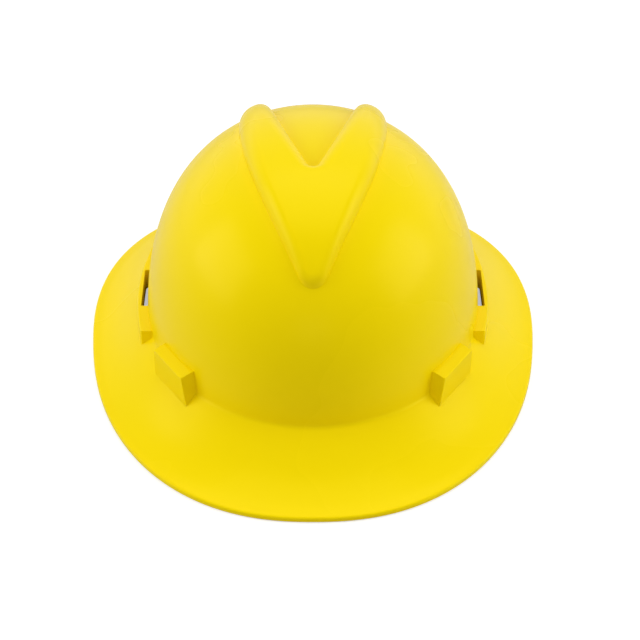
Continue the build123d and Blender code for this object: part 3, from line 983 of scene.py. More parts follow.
    def top_point(self, dome: Dome, inset: float, step: float, across: float) -> Vector:
        """Find a point of the top.

        Args:
            dome: raised dome that the top follows.
            inset: how far the sides are drawn in.
            step: place along the arm.
            across: share of the way across.

        Returns:
            The point on the raised dome.
        """
        if step > self.steps - 0.5:
            point = self.edge_point(dome, self.end_rim(across), inset, 0.0)
        else:
            point = self.across_point(dome, inset, step, across, 0.0)
        return Vector((point.x, point.y, dome.height(point.x, point.y)))

    def wall_point(self, dome: Dome, inset: float, rim: Rim, down: float) -> Vector:
        """Find a point of the rounded edge or of the side below it.

        Args:
            dome: raised dome that the top follows.
            inset: how far the sides are drawn in.
            rim: point, outward direction and edge radius.
            down: row below the top, the last one on the floor.

        Returns:
            The point.
        """
        point = self.edge_point(dome, rim, inset, min(1.0, down / self.edge_steps))
        if down > self.edge_steps + 0.5:
            point.z = self.floor_z
        return point

    def solid(self, name: str, dome: Dome, inset: float) -> Piece:
        """Closed solid of the V.

        Args:
            name: name of the solid.
            dome: raised dome that its top follows.
            inset: how far its sides are drawn in.

        Returns:
            The closed solid, down to the floor height.
        """
        back, rows = self.steps - self.notch_step, self.edge_steps + 1
        walls = ((self.steps, lambda share: self.outer_rim(share * self.steps)),
                 (back, lambda share: self.inner_rim(self.notch_step + share * back)), (self.width_steps, self.end_rim))
        level, raise_to = Vector((1, 1, 0)), UP * self.floor_z
        parts = []
        for side in Side:
            flip = Vector((side.value, 1, 1))
            parts.append(patch(self.steps, self.width_steps, lambda along, across: flip * self.top_point(
                dome, inset, along * self.steps, across)))
            parts.append(patch(self.steps, self.width_steps, lambda along, across: raise_to + level * flip
                               * self.across_point(dome, inset, along * self.steps, across, 1.0)))
            for columns, rim in walls:
                parts.append(patch(columns, rows, lambda along, down: flip * self.wall_point(
                    dome, inset, rim(along), down * rows)))
        return joined(name, parts)


@dataclass
class Shell:
    """Moulded shell: dome and brim with the raised V, key lugs and accessory bosses."""

    dome: Dome = field(default_factory=Dome)
    brim: Brim = field(default_factory=Brim)
    ridge: Ridge = field(default_factory=Ridge)
    wall: float = 2.5 * MM
    crease_radius: float = 1.6 * MM
    crease_steps: int = 7
    edge_radius: float = 1.2 * MM
    edge_steps: int = 5
    foot_radius: float = 0.4 * MM
    foot_round_share: float = 0.3
    inner_crease_radius: float = 1.5 * MM
    inner_crease_steps: int = 4
    lug_ys: tuple[float, float] = (-65.5 * MM, 74.0 * MM)
    lug_back: float = 15.0 * MM
    lug_front_outer: float = 17.3 * MM
    lug_front_inner: float = 17.4 * MM
    lug_draft_outer_share: float = 0.21
    lug_draft_inner_share: float = 0.38
    lug_top_reaches: tuple[float, float] = (6.4 * MM, 6.8 * MM)
    lug_foot_reach: float = 6.4 * MM
    lug_root_reach: float = -9.0 * MM
    lug_top_inner_z: float = 42.6 * MM
    lug_top_outer_z: float = 41.0 * MM
    lug_knee_z: float = 25.5 * MM
    lug_floor_z: float = 8.0 * MM
    lug_radius: float = 1.1 * MM
    pocket_half_width: float = 10.3 * MM
    pocket_depth: float = 4.0 * MM
    pocket_inner: float = -0.1 * MM
    pocket_top_z: float = 38.3 * MM
    boss_half_width: float = 109.0 * MM
    boss_bow_half_length: float = 150.0 * MM
    boss_bow_middle_y: float = 14.0 * MM
    boss_bow_steps: int = 40
    boss_ys: tuple[float, float] = (-28.0 * MM, 66.0 * MM)
    boss_inner_x: float = 89.5 * MM
    boss_bare_x: float = 98.4 * MM
    boss_top_z: float = 33.0 * MM
    boss_radius: float = 1.2 * MM
    slot_inner_x: float = 101.6 * MM
    slot_width: float = 4.5 * MM
    slot_front_y: float = -2.5 * MM
    slot_length: float = 37.5 * MM
    around: int = 216
    dome_steps: int = 62
    brim_steps: int = 24
    overrun: float = 5.0 * MM
    sharp_degrees: float = 32

    def __post_init__(self) -> None:
        """Work out the dome of the cavity."""
        self.inner_dome = self.dome.grown(self.wall, 0)

    def turned(self, name: str, line: Callable[[float], list[Vector]]) -> Piece:
        """Closed solid from a line of points that is worked out for each turn."""
        rows = [line(2 * math.pi * step / self.around) for step in range(self.around)]
        return skinned(name, rows + rows[:1])

    def skin_line(self, dome: Dome, turn: float, drop: float, radius: float, steps: int, stop: float) -> list[Vector]:
        """Line from the crown down the dome, round the crease and out along the brim.

        Args:
            dome: outer dome or that of the cavity.
            turn: turn about the axis.
            drop: how far the brim's face is drawn in and down.
            radius: reach of the rounded crease.
            steps: faces round it.
            stop: how far before the edge the line ends.

        Returns:
            Its points.
        """
        brim = self.brim
        length = (dome.foot_point(turn) - brim.edge(turn, drop)).length
        first_run, last_run = stop / length, 1 - radius / length
        foot = dome.share_at(brim.crease_z - drop + radius)
        points = [dome.point(1 - (1 - foot) * step / self.dome_steps, turn) for step in range(self.dome_steps + 1)]
        out = [brim.point(dome, last_run + (first_run - last_run) * step / self.brim_steps, turn, drop)
               for step in range(self.brim_steps + 1)]
        return points + rounded(points[-1], brim.point(dome, 1, turn, drop), out[0], steps) + out

    def outer_line(self, turn: float) -> list[Vector]:
        """Outside from the crown to the brim's edge and under it to the middle.

        Args:
            turn: turn about the axis.

        Returns:
            Its points.
        """
        points = self.skin_line(self.dome, turn, 0, self.crease_radius, self.crease_steps, self.edge_radius)
        edge, foot = self.brim.edge(turn, 0), self.foot_radius
        inward = (self.dome.foot_point(turn) - edge).normalized()
        lip = edge + UP * self.brim.edge_height
        side = lip - UP * self.edge_radius
        points += rounded(points[-1], lip, side, self.edge_steps)
        return points + [side, edge + UP * foot, edge + (inward + UP) * foot * self.foot_round_share,
                         edge + inward * foot, Vector()]

    def inner_line(self, turn: float) -> list[Vector]:
        """Cavity from the crown to the brim's inner edge and below it to the middle.

        Args:
            turn: turn about the axis.

        Returns:
            Its points.
        """
        drop, below = self.brim.wall, -UP * self.overrun
        points = self.skin_line(self.inner_dome, turn, drop, self.inner_crease_radius, self.inner_crease_steps, 0)
        return points + [self.brim.edge(turn, drop) + below, below]

    def lug(self, side: Side, y: float) -> Piece:
        """Block on the dome's foot that houses a key.

        Args:
            side: side of the wearer.
            y: place along the dome.

        Returns:
            The block in its place.
        """
        hand = side.value * (-1 if y < self.dome.middle_y else 1)
        back_reach, front_reach = self.lug_top_reaches
        corners = [(self.lug_root_reach, self.lug_floor_z), (self.lug_foot_reach, self.lug_floor_z),
                   (self.lug_foot_reach, self.lug_knee_z), (back_reach, self.lug_top_outer_z),
                   (0, self.lug_top_inner_z), (self.lug_root_reach, self.lug_top_inner_z)]
        outline = [Vector((reach, -hand * self.lug_back, height)) for reach, height in corners]
        block = prism("lug", outline, Vector((0, hand, 0)))
        for vertex in block.data.vertices:
            if abs(vertex.co.y) <= self.lug_back + WELD:
                continue
            if vertex.co.x > WELD:
                lean = (self.lug_top_outer_z - vertex.co.z) * self.lug_draft_outer_share
                vertex.co.y = hand * (self.lug_front_outer + lean)
            else:
                lean = (self.lug_top_inner_z - vertex.co.z) * self.lug_draft_inner_share
                vertex.co.y = hand * (self.lug_front_inner + lean)
            if abs(vertex.co.z - self.lug_top_outer_z) < WELD:
                vertex.co.x = front_reach
        round_edges(block, lambda middle, way: middle.x > 0 and middle.z > self.lug_knee_z - WELD
                    and (abs(way.z) > 0.5 or middle.z > self.brim.crease_z), self.lug_radius, steps=5)
        block.data.transform(self.dome.foot_place(side, y))
        return block

    def pocket(self, side: Side, y: float) -> Piece:
        """Socket for a key's blade, open below.

        Args:
            side: side of the wearer.
            y: place along the dome.

        Returns:
            The block that is taken away.
        """
        corners = [(0, 0), (self.pocket_depth, 0), (self.pocket_depth, self.pocket_top_z), (0, self.pocket_top_z)]
        outline = [Vector((self.pocket_inner + reach, -self.pocket_half_width, height)) for reach, height in corners]
        block = prism("pocket", outline, Vector((0, 2 * self.pocket_half_width, 0)))
        block.data.transform(self.dome.foot_place(side, y))
        return block

    def boss(self, side: Side) -> Piece:
        """Accessory boss along the side of the dome.

        Args:
            side: side of the wearer.

        Returns:
            The block with its bare edges rounded.
        """
        front, rear = self.boss_ys
        corners = [(self.boss_inner_x, rear), (self.boss_inner_x, front)]
        for step in range(self.boss_bow_steps + 1):
            y = front + (rear - front) * step / self.boss_bow_steps
            bow = math.sqrt(1 - ((y - self.boss_bow_middle_y) / self.boss_bow_half_length) ** 2)
            corners.append((self.boss_half_width * bow, y))
        outline = [Vector((side.value * x, y, self.lug_floor_z)) for x, y in corners]
        block = prism("boss", outline, UP * (self.boss_top_z - self.lug_floor_z))
        round_edges(block, lambda middle, way: abs(middle.x) > self.boss_bare_x and (
            middle.z > self.boss_top_z - WELD
            or (abs(way.z) > UPRIGHT and (middle.y < front + WELD or middle.y > rear - WELD))),
            self.boss_radius, steps=4)
        return block

    def slot(self, side: Side) -> Piece:
        """Upright slot through a boss and the brim below it.

        Args:
            side: side of the wearer.

        Returns:
            The block that is taken away.
        """
        inner, front = self.slot_inner_x, self.slot_front_y
        outer, rear = inner + self.slot_width, front + self.slot_length
        corners = ((inner, front), (outer, front), (outer, rear), (inner, rear))
        outline = [Vector((side.value * x, y, -self.overrun)) for x, y in corners]
        block = prism("slot", outline, UP * (self.boss_top_z + 2 * self.overrun))
        round_edges(block, lambda middle, way: abs(way.z) > UPRIGHT, self.boss_radius / 2, steps=3)
        return block

    def build(self, material: Material) -> None:
        """Build the shell, dress it and let it stand for its solid.

        Args:
            material: its plastic.
        """
        shell = self.turned("hat_shell", self.outer_line)
        change(shell, self.ridge.solid("ridge", self.dome.grown(0, self.ridge.lift), 0), Cut.ADD)
        for side in Side:
            change(shell, self.boss(side), Cut.ADD)
            for y in self.lug_ys:
                change(shell, self.lug(side, y), Cut.ADD)
        change(shell, self.turned("cavity", self.inner_line), Cut.TAKE)
        hollow = self.ridge.solid("hollow", self.dome.grown(self.wall, self.ridge.lift), self.wall)
        change(shell, hollow, Cut.TAKE)
        for side in Side:
            change(shell, self.slot(side), Cut.TAKE)
            for y in self.lug_ys:
                change(shell, self.pocket(side, y), Cut.TAKE)
        smooth(shell, self.sharp_degrees)
        modified(shell, "WEIGHTED_NORMAL", keep_sharp=True)
        stand_in(shell, material, "shell", "shell")
        log.info("shell: %d faces", len(shell.data.polygons))


# Soft pieces


@dataclass(frozen=True)
class Station:
    """One place along a strip: its middle and its unit directions across and through."""

    middle: Vector
    across: Vector
    through: Vector


def strip(name: str, stations: Sequence[Station], outline: Callable[[float, float], Section],
          shoulder_share: float = 0.6) -> Piece:
    """Closed strip swept along stations.

    Args:
        name: name of the piece.
        stations: places along the strip.
        outline: points around the section, across and through, for a share along the strip and for a
            thickness share that closes the ends.
        shoulder_share: thickness share of the section just before an end closes.

    Returns:
        The closed strip, whose UV map runs along it and around it.
    """
    last = len(stations) - 1
    laid = [(0, outline(0.0, 0.0)), (0, outline(0.0, shoulder_share))]
    laid += [(step, outline(step / last, 1.0)) for step in range(last + 1)]
    laid += [(last, outline(1.0, shoulder_share)), (last, outline(1.0, 0.0))]
    rows = []
    for step, section in laid:
        station = stations[step]
        row = [station.middle + station.across * across + station.through * through for across, through in section]
        rows.append(row + row[:1])
    return skinned(name, rows)


def bar_section(width: float, thickness: float, corner: float = 4.0, points: int = 28) -> Section:
    """Flat section with rounded sides, the same above and below.

    Args:
        width: its size across.
        thickness: its size through.
        corner: how square its corners are.
        points: points around it.

    Returns:
        The points, across and through.
    """
    section = []
    for step in range(points):
        turn = 2 * math.pi * (step + 0.5) / points
        across, through = (signed_power(part, 2 / corner) for part in (math.cos(turn), math.sin(turn)))
        section.append((across * width / 2, through * thickness / 2))
    return section


def thinned(section: Section, share: float) -> Section:
    """Section drawn together to a share of its thickness."""
    return [(across, through * share) for across, through in section]


def stitches(name: str, places: Sequence[tuple[Vector, Vector, Vector]], length: float, radius: float) -> Piece:
    """Row of thread stitches.

    Args:
        name: name of the piece.
        places: middle, direction along the thread and direction out of the cloth of each stitch.
        length: length of a stitch.
        radius: radius of its thread.

    Returns:
        All stitches as one mesh of closed beads.
    """
    deselect()
    bpy.ops.mesh.primitive_uv_sphere_add(segments=8, ring_count=6, radius=1, location=(0, 0, 0))
    bead = bpy.context.object
    made = []
    for middle, along, out in places:
        copy = bead.copy()
        copy.data = bead.data.copy()
        bpy.context.scene.collection.objects.link(copy)
        turn = Matrix((along * length / 2, out.cross(along) * radius, out * radius)).transposed().to_4x4()
        copy.data.transform(Matrix.Translation(middle) @ turn)
        made.append(copy)
    bpy.data.objects.remove(bead)
    row = joined(name, made)
    smooth(row, sharp_degrees=60)
    return row


@dataclass
class CrownStraps:
    """Two woven straps that cross over the head and loop through the keys."""

    dome: Dome = field(default_factory=Dome)
    key_ys: tuple[float, float] = (-65.5 * MM, 74.0 * MM)
    tab_backs: tuple[float, float] = (14.55 * MM, 11.27 * MM)
    tab_thickness: float = 2.4 * MM
    tab_top_z: float = 57.0 * MM
    slot_z: float = 51.0 * MM
    key_gap: float = 2.9 * MM
    end_z: float = 49.0 * MM
    top_z: float = 107.0 * MM
    crossing_lift: float = 2.2 * MM
    lean_share: float = 0.5
    pull_share: float = 1.16
    width: float = 20.0 * MM
    thickness: float = 1.2 * MM
    loop_gap: float = 0.25 * MM
    loop_start: float = 5.0 * MM
    loop_top_gap: float = 1.0 * MM
    loop_corner: float = 2.4 * MM
    twist_length: float = 40.0 * MM
    tail_start: float = 13.0 * MM
    tail_end: float = 36.0 * MM
    sewn_start: float = 17.0 * MM
    sewn_end: float = 33.0 * MM
    sewn_half_width: float = 7.5 * MM
    stitch_pitch: float = 2.3 * MM
    stitch_length: float = 1.7 * MM
    stitch_radius: float = 0.26 * MM
    steps: int = 96

    def ends(self, front: Side, rear: Side) -> list[tuple[Vector, Matrix]]:
        """Find where a strap starts and ends.

        Args:
            front: side of its front key.
            rear: side of its rear key.

        Returns:
            Lower end and key's place at the front and at the rear.
        """
        found = []
        for side, y, back in zip((front, rear), self.key_ys, self.tab_backs):
            key = self.dome.foot_place(side, y)
            found.append((key @ Vector((-back - self.key_gap, 0, 0)), key))
        return found

    def line(self, start: Vector, end: Vector, top_z: float) -> Line:
        """Middle line of a strap over the head.

        Args:
            start: its front end in the plan.
            end: its rear end in the plan.
            top_z: its height where the straps cross.

        Returns:
            Points and directions from the front to the rear.
        """
        span = end - start
        across = span.normalized()
        rise = Vector((self.lean_share, 1)).normalized()
        knots = [(Vector((0, self.end_z)), rise), (Vector((-start.x / across.x, top_z)), Vector((1, 0))),
                 (Vector((span.length, self.end_z)), Vector((rise.x, -rise.y)))]
        found = []
        for (first, leaving), (last, arriving) in zip(knots, knots[1:]):
            pull = (last - first).length * self.pull_share
            for step in range(self.steps + (last is knots[2][0])):
                point, way = cubic(first, last, leaving * pull, arriving * pull, step / self.steps)
                found.append((start + across * point.x + UP * point.y, (across * way.x + UP * way.y).normalized()))
        return found

    def main_stations(self, ends: list[tuple[Vector, Matrix]], top_z: float) -> list[Station]:
        """Stations of a strap over the head, turned at its ends to lie flat against the keys.

        Args:
            ends: lower end and key's place at the front and at the rear.
            top_z: its height where the straps cross.

        Returns:
            The stations from the front to the rear.
        """
        line = self.line(ends[0][0], ends[1][0], top_z)
        level = UP.cross((ends[1][0] - ends[0][0]).normalized())
        lengths = [0.0]
        for (first, _), (last, _) in zip(line, line[1:]):
            lengths.append(lengths[-1] + (last - first).length)
        stations = []
        for (middle, way), run in zip(line, lengths):
            share, wanted = 0.0, level
            for (_, key), far in zip(ends, (run, lengths[-1] - run)):
                if far < self.twist_length:
                    share = 1 - far / self.twist_length
                    wanted = key.to_3x3() @ Vector((0, 1, 0))
                    wanted = wanted if wanted.dot(level) > 0 else -wanted
            across = level.lerp(wanted, eased(share))
            across = (across - way * across.dot(way)).normalized()
            stations.append(Station(middle, across, across.cross(way)))
        return stations

    def loop_stations(self, key: Matrix, back: float, main: Sequence[Station]) -> list[Station]:
        """Stations of a strap's end: out through the key's slot, over its top and up against the strap.

        Args:
            key: place of the key.
            back: how far behind it its tab stands.
            main: stations of the strap from this end on.

        Returns:
            The stations of the loop.
        """
        turn = key.to_3x3()
        level, outward = turn @ Vector((0, 1, 0)), turn @ Vector((1, 0, 0))
        half = self.thickness / 2 + self.loop_gap
        inner, near, outer = -back - self.key_gap, -back - half, -back + self.tab_thickness + half
        corners = [(inner, self.end_z + self.loop_start), (inner, self.slot_z), (near, self.slot_z),
                   (outer, self.slot_z), (outer, self.tab_top_z + half),
                   (near, self.tab_top_z + half + self.loop_top_gap)]
        points = [key @ Vector((reach, 0, height)) for reach, height in corners]
        for station in main:
            if self.tail_start < (station.middle - main[0].middle).length < self.tail_end:
                out = station.through if station.through.dot(outward) > 0 else -station.through
                points.append(station.middle + out * (self.thickness + self.loop_gap))
        bent = [points[0]]
        for before, corner, after in zip(points, points[1:], points[2:]):
            reach = min((corner - before).length, (after - corner).length, self.loop_corner) / 2
            first = corner + (before - corner).normalized() * reach
            last = corner + (after - corner).normalized() * reach
            bent += [first, (first + corner * 2 + last) / 4, last]
        bent.append(points[-1])
        stations = []
        for before, middle, after in zip(bent[:1] + bent, bent, bent[1:] + bent[-1:]):
            way = (after - before).normalized()
            across = (level - way * level.dot(way)).normalized()
            stations.append(Station(middle, across, across.cross(way)))
        return stations

    def box_stitch(self, name: str, main: Sequence[Station], key: Matrix) -> Piece:
        """Sewn box with a cross where a strap's end lies on the strap.

        Args:
            name: name of the piece.
            main: stations of the strap from this end on.
            key: place of the key.

        Returns:
            Its stitches, on both faces.
        """
        outward = key.to_3x3() @ Vector((1, 0, 0))
        runs = [(station, (station.middle - main[0].middle).length) for station in main]
        low, high, half = self.sewn_start, self.sewn_end, self.sewn_half_width
        corners = [(-half, low), (half, low), (half, high), (-half, high), (-half, low), (half, high)]
        places = []
        for (first_across, first_run), (last_across, last_run) in [*zip(corners, corners[1:]),
                                                                   ((half, low), (-half, high))]:
            wide, long = last_across - first_across, last_run - first_run
            count = max(2, round(math.hypot(wide, long) / self.stitch_pitch))
            for step in range(count):
                share = (step + 0.5) / count
                run = first_run + long * share
                station, reached = min(runs, key=lambda pair: abs(pair[1] - run))
                way = station.through.cross(station.across)
                along = (station.across * wide + way * long).normalized()
                inner = -station.through if station.through.dot(outward) > 0 else station.through
                middle = station.middle + station.across * (first_across + wide * share) + way * (run - reached)
                places.append((middle + inner * self.thickness * 0.5, along, inner))
                places.append((middle - inner * (self.thickness * 1.5 + self.loop_gap), along, -inner))
        return stitches(name, places, self.stitch_length, self.stitch_radius)

    def build(self, cloth: Material, thread: Material) -> None:
        """Build both straps with their loops and stitches.

        Args:
            cloth: finish of the webbing.
            thread: finish of the stitches.
        """
        section = bar_section(self.width, self.thickness)
        for rank, front, rear in ((Rank.UNDER, Side.RIGHT, Side.LEFT), (Rank.OVER, Side.LEFT, Side.RIGHT)):
            label = f"strap_{rank.name.lower()}"
            ends = self.ends(front, rear)
            main = self.main_stations(ends, self.top_z + rank.value * self.crossing_lift)
            pieces = [strip(label, main, lambda along, share: thinned(section, share))]
            for place, (_, key), back, near in zip(("front", "rear"), ends, self.tab_backs, (main, main[::-1])):
                pieces.append(strip(f"{label}_{place}_loop", self.loop_stations(key, back, near),
                                    lambda along, share: thinned(section, share)))
                pieces.append(self.box_stitch(f"{label}_{place}_stitches", near, key))
            for piece in pieces:
                smooth(piece, sharp_degrees=50)
                stand_in(piece, thread if "stitches" in piece.name else cloth, f"crown_{label}", "shell")
            log.info("%s: %d pieces", label, len(pieces))


@dataclass
class BandPath:
    """Plan line of the headband: a half ellipse at the brow, sides, corners and a straight rear."""

    half_width: float = 82.0 * MM
    front_y: float = -98.0 * MM
    rear_y: float = 92.0 * MM
    corner_radius: float = 50.0 * MM
    middle_z: float = 27.0 * MM
    layer_offset: float = 0.95 * MM
    jog_start: float = 48.0
    jog_end: float = 74.0
    side_step: float = 1.0 * MM
    brow_steps: int = 400
    arm_side_steps: int = 8
    corner_steps: int = 60
    arm_rear_steps: int = 4

    def at(self, x: float, y: float) -> Vector:
        """Point at the band's middle height."""
        return Vector((x, y, self.middle_z))

    def front_line(self, grow: float, rear_y: float) -> Line:
        """Line from the right side round the brow to the left side.

        Args:
            grow: how far outside the band's own line it runs.
            rear_y: where it starts and ends.

        Returns:
            Points and outward directions.
        """
        wide, deep = self.half_width + grow, -self.front_y + grow
        runs = round(rear_y / self.side_step)
        found = [(self.at(-wide, rear_y - step * rear_y / runs), Vector((-1, 0, 0))) for step in range(runs)]
        for step in range(self.brow_steps + 1):
            turn = math.pi + math.pi * step / self.brow_steps
            across, along = math.cos(turn), math.sin(turn)
            found.append((self.at(wide * across, deep * along), flat(across / wide, along / deep).normalized()))
        return found + [(self.at(wide, step * rear_y / runs), Vector((1, 0, 0))) for step in range(1, runs + 1)]

    def arm_line(self, side: Side, front_y: float, end_x: float) -> Line:
        """Line of a flexible arm.

        Args:
            side: side of the wearer.
            front_y: where it leaves the band's rigid front.
            end_x: where it ends at the rear.

        Returns:
            Points and outward directions.
        """
        corner_x, corner_y = self.half_width - self.corner_radius, self.rear_y - self.corner_radius
        offset = side.value * self.layer_offset
        found = []
        for step in range(self.arm_side_steps):
            y = front_y + (corner_y - front_y) * step / self.arm_side_steps
            found.append((self.at(self.half_width, y), Vector((1, 0, 0))))
        for step in range(self.corner_steps + 1):
            turn = QUARTER * step / self.corner_steps
            out = flat(math.cos(turn), math.sin(turn))
            jog = offset * eased(math.degrees(turn), self.jog_start, self.jog_end)
            found.append((self.at(corner_x, corner_y) + out * (self.corner_radius + jog), out))
        for step in range(1, self.arm_rear_steps + 1):
            x = corner_x + (end_x - corner_x) * step / self.arm_rear_steps
            found.append((self.at(x, self.rear_y + offset), Vector((0, 1, 0))))
        flip = Vector((side.value, 1, 1))
        return [(flip * point, flip * out) for point, out in found]


@dataclass
class Sweatband:
    """Padded knit band across the brow with a sewn seam along each edge."""

    path: BandPath = field(default_factory=BandPath)
    inset: float = 3.3 * MM
    thickness: float = 4.2 * MM
    height: float = 25.0 * MM
    rear_y: float = 14.0 * MM
    edge_thickness: float = 2.0 * MM
    edge_back_share: float = 0.35
    seam_share: float = 0.74
    seam_width_share: float = 0.07
    seam_depth: float = 1.1 * MM
    taper_share: float = 3 / 110
    end_share: float = 0.45
    side_power: float = 0.62
    edge_power: float = 0.55
    crown_power: float = 0.8
    stitch_pitch: float = 3.1 * MM
    stitch_length: float = 2.2 * MM
    stitch_radius: float = 0.28 * MM
    section_points: int = 72
    fill: float = 0.6

    def crown(self, across: float) -> float:
        """Thickness at a share of the half height, between the edge's and the middle's."""
        return self.edge_thickness + (self.thickness - self.edge_thickness) * (1 - across * across) ** self.crown_power

    def outline(self, along: float, share: float) -> Section:
        """Section of the band: flat outside, crowned inside, thinner at its sewn ends.

        Args:
            along: share along the band.
            share: thickness share that closes its ends.

        Returns:
            The points, across and through.
        """
        near_end = min(1.0, min(along, 1 - along) / self.taper_share)
        taper = min(1.0, self.end_share + (1 - self.end_share) * math.sin(near_end * QUARTER))
        outside = -self.thickness / 2
        rim = outside + self.edge_thickness * self.edge_back_share
        points = []
        for step in range(self.section_points):
            turn = 2 * math.pi * (step + 0.5) / self.section_points
            across = signed_power(math.cos(turn), self.side_power)
            edge = abs(math.sin(turn)) ** self.edge_power
            seam = self.seam_depth * math.exp(-((abs(across) - self.seam_share) / self.seam_width_share) ** 2)
            swell = (self.crown(across) * taper - seam) * edge + outside - rim
            if math.sin(turn) < 0:
                swell = -self.edge_thickness * self.edge_back_share * edge
            points.append((across * self.height / 2, rim + swell * share))
        return points

    def build(self, cloth: Material, thread: Material) -> None:
        """Build the band and its two rows of stitches.

        Args:
            cloth: finish of the knit.
            thread: finish of the stitches.
        """
        line = self.path.front_line(-self.inset, self.rear_y)
        band = strip("sweatband_pad", [Station(point, UP, -out) for point, out in line[::2]], self.outline)
        smooth(band, sharp_degrees=60)
        depth = self.crown(self.seam_share) - self.seam_depth - self.thickness / 2
        reach = UP * self.seam_share * self.height / 2
        rows = []
        run = 0.0
        for (before, _), (point, out) in zip(line, line[1:]):
            run += (point - before).length
            if run >= self.stitch_pitch:
                run = 0.0
                along = (point - before).normalized()
                rows += [(point + level * reach - out * depth, along, -out) for level in (1, -1)]
        seam = stitches("sweatband_stitches", rows, self.stitch_length, self.stitch_radius)
        for piece, material in ((band, cloth), (seam, thread)):
            stand_in(piece, material, "sweatband", "headband")
        log.info("sweatband: %d faces, %d stitches", len(band.data.polygons), len(rows))


@dataclass
class BandArms:
    """Flexible ends of the headband that bend as the toothed strips slide in."""

    path: BandPath = field(default_factory=BandPath)
    thickness: float = 1.5 * MM
    front_height: float = 28.0 * MM
    rear_height: float = 20.0 * MM
    taper_end_x: float = 43.0 * MM
    corner: float = 7.0
    section_points: int = 36
    front_y: float = 30.0 * MM
    end_x: float = 27.6 * MM
    stud_y: float = 67.76 * MM
    hole_radius: float = 2.75 * MM
    drill_length: float = 20.0 * MM
    bend_start: tuple[float, float] = (80.0 * MM, 50.0 * MM)
    bend_end: tuple[float, float] = (30.0 * MM, 92.0 * MM)

    def outline(self, x: float, share: float) -> Section:
        """Section of an arm, lower towards the rear.

        Args:
            x: distance from the middle of the hat.
            share: thickness share that closes its ends.

        Returns:
            The points, across and through.
        """
        lean = min(1.0, max(0.0, (x - self.taper_end_x) / (self.path.half_width - self.taper_end_x)))
        height = self.rear_height + (self.front_height - self.rear_height) * lean
        return thinned(bar_section(height, self.thickness, self.corner, self.section_points), share)

    def drill(self, line: Line) -> Piece:
        """Rod through an arm where its height stud passes.

        Args:
            line: points and outward directions of the arm.

        Returns:
            The rod that is taken away.
        """
        point, out = min(line, key=lambda pair: abs(pair[0].y - self.stud_y))
        deselect()
        bpy.ops.mesh.primitive_cylinder_add(vertices=32, radius=self.hole_radius, depth=self.drill_length,
                                            location=(0, 0, 0))
        rod = bpy.context.object
        rod.data.transform(Matrix.Translation(point) @ out.to_track_quat("Z", "Y").to_matrix().to_4x4())
        return rod

    def build(self, plastic: Material) -> None:
        """Build both arms.

        Args:
            plastic: finish of the band.
        """
        for side in Side:
            label = side.name.lower()
            line = self.path.arm_line(side, self.front_y, self.end_x)
            arm = strip(f"band_bend_{label}", [Station(point, UP, out) for point, out in line],
                        lambda along, share: self.outline(abs(line[round(along * (len(line) - 1))][0].x), share))
            change(arm, self.drill(line), Cut.TAKE)
            smooth(arm, sharp_degrees=40)
            stand_in(arm, plastic, f"band_arm_{label}")
            start, end = ((side.value * x, y, self.path.middle_z) for x, y in (self.bend_start, self.bend_end))
            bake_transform(arm)
            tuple(start)
            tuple(end)
        log.info("band arms: %d pieces", len(Side))


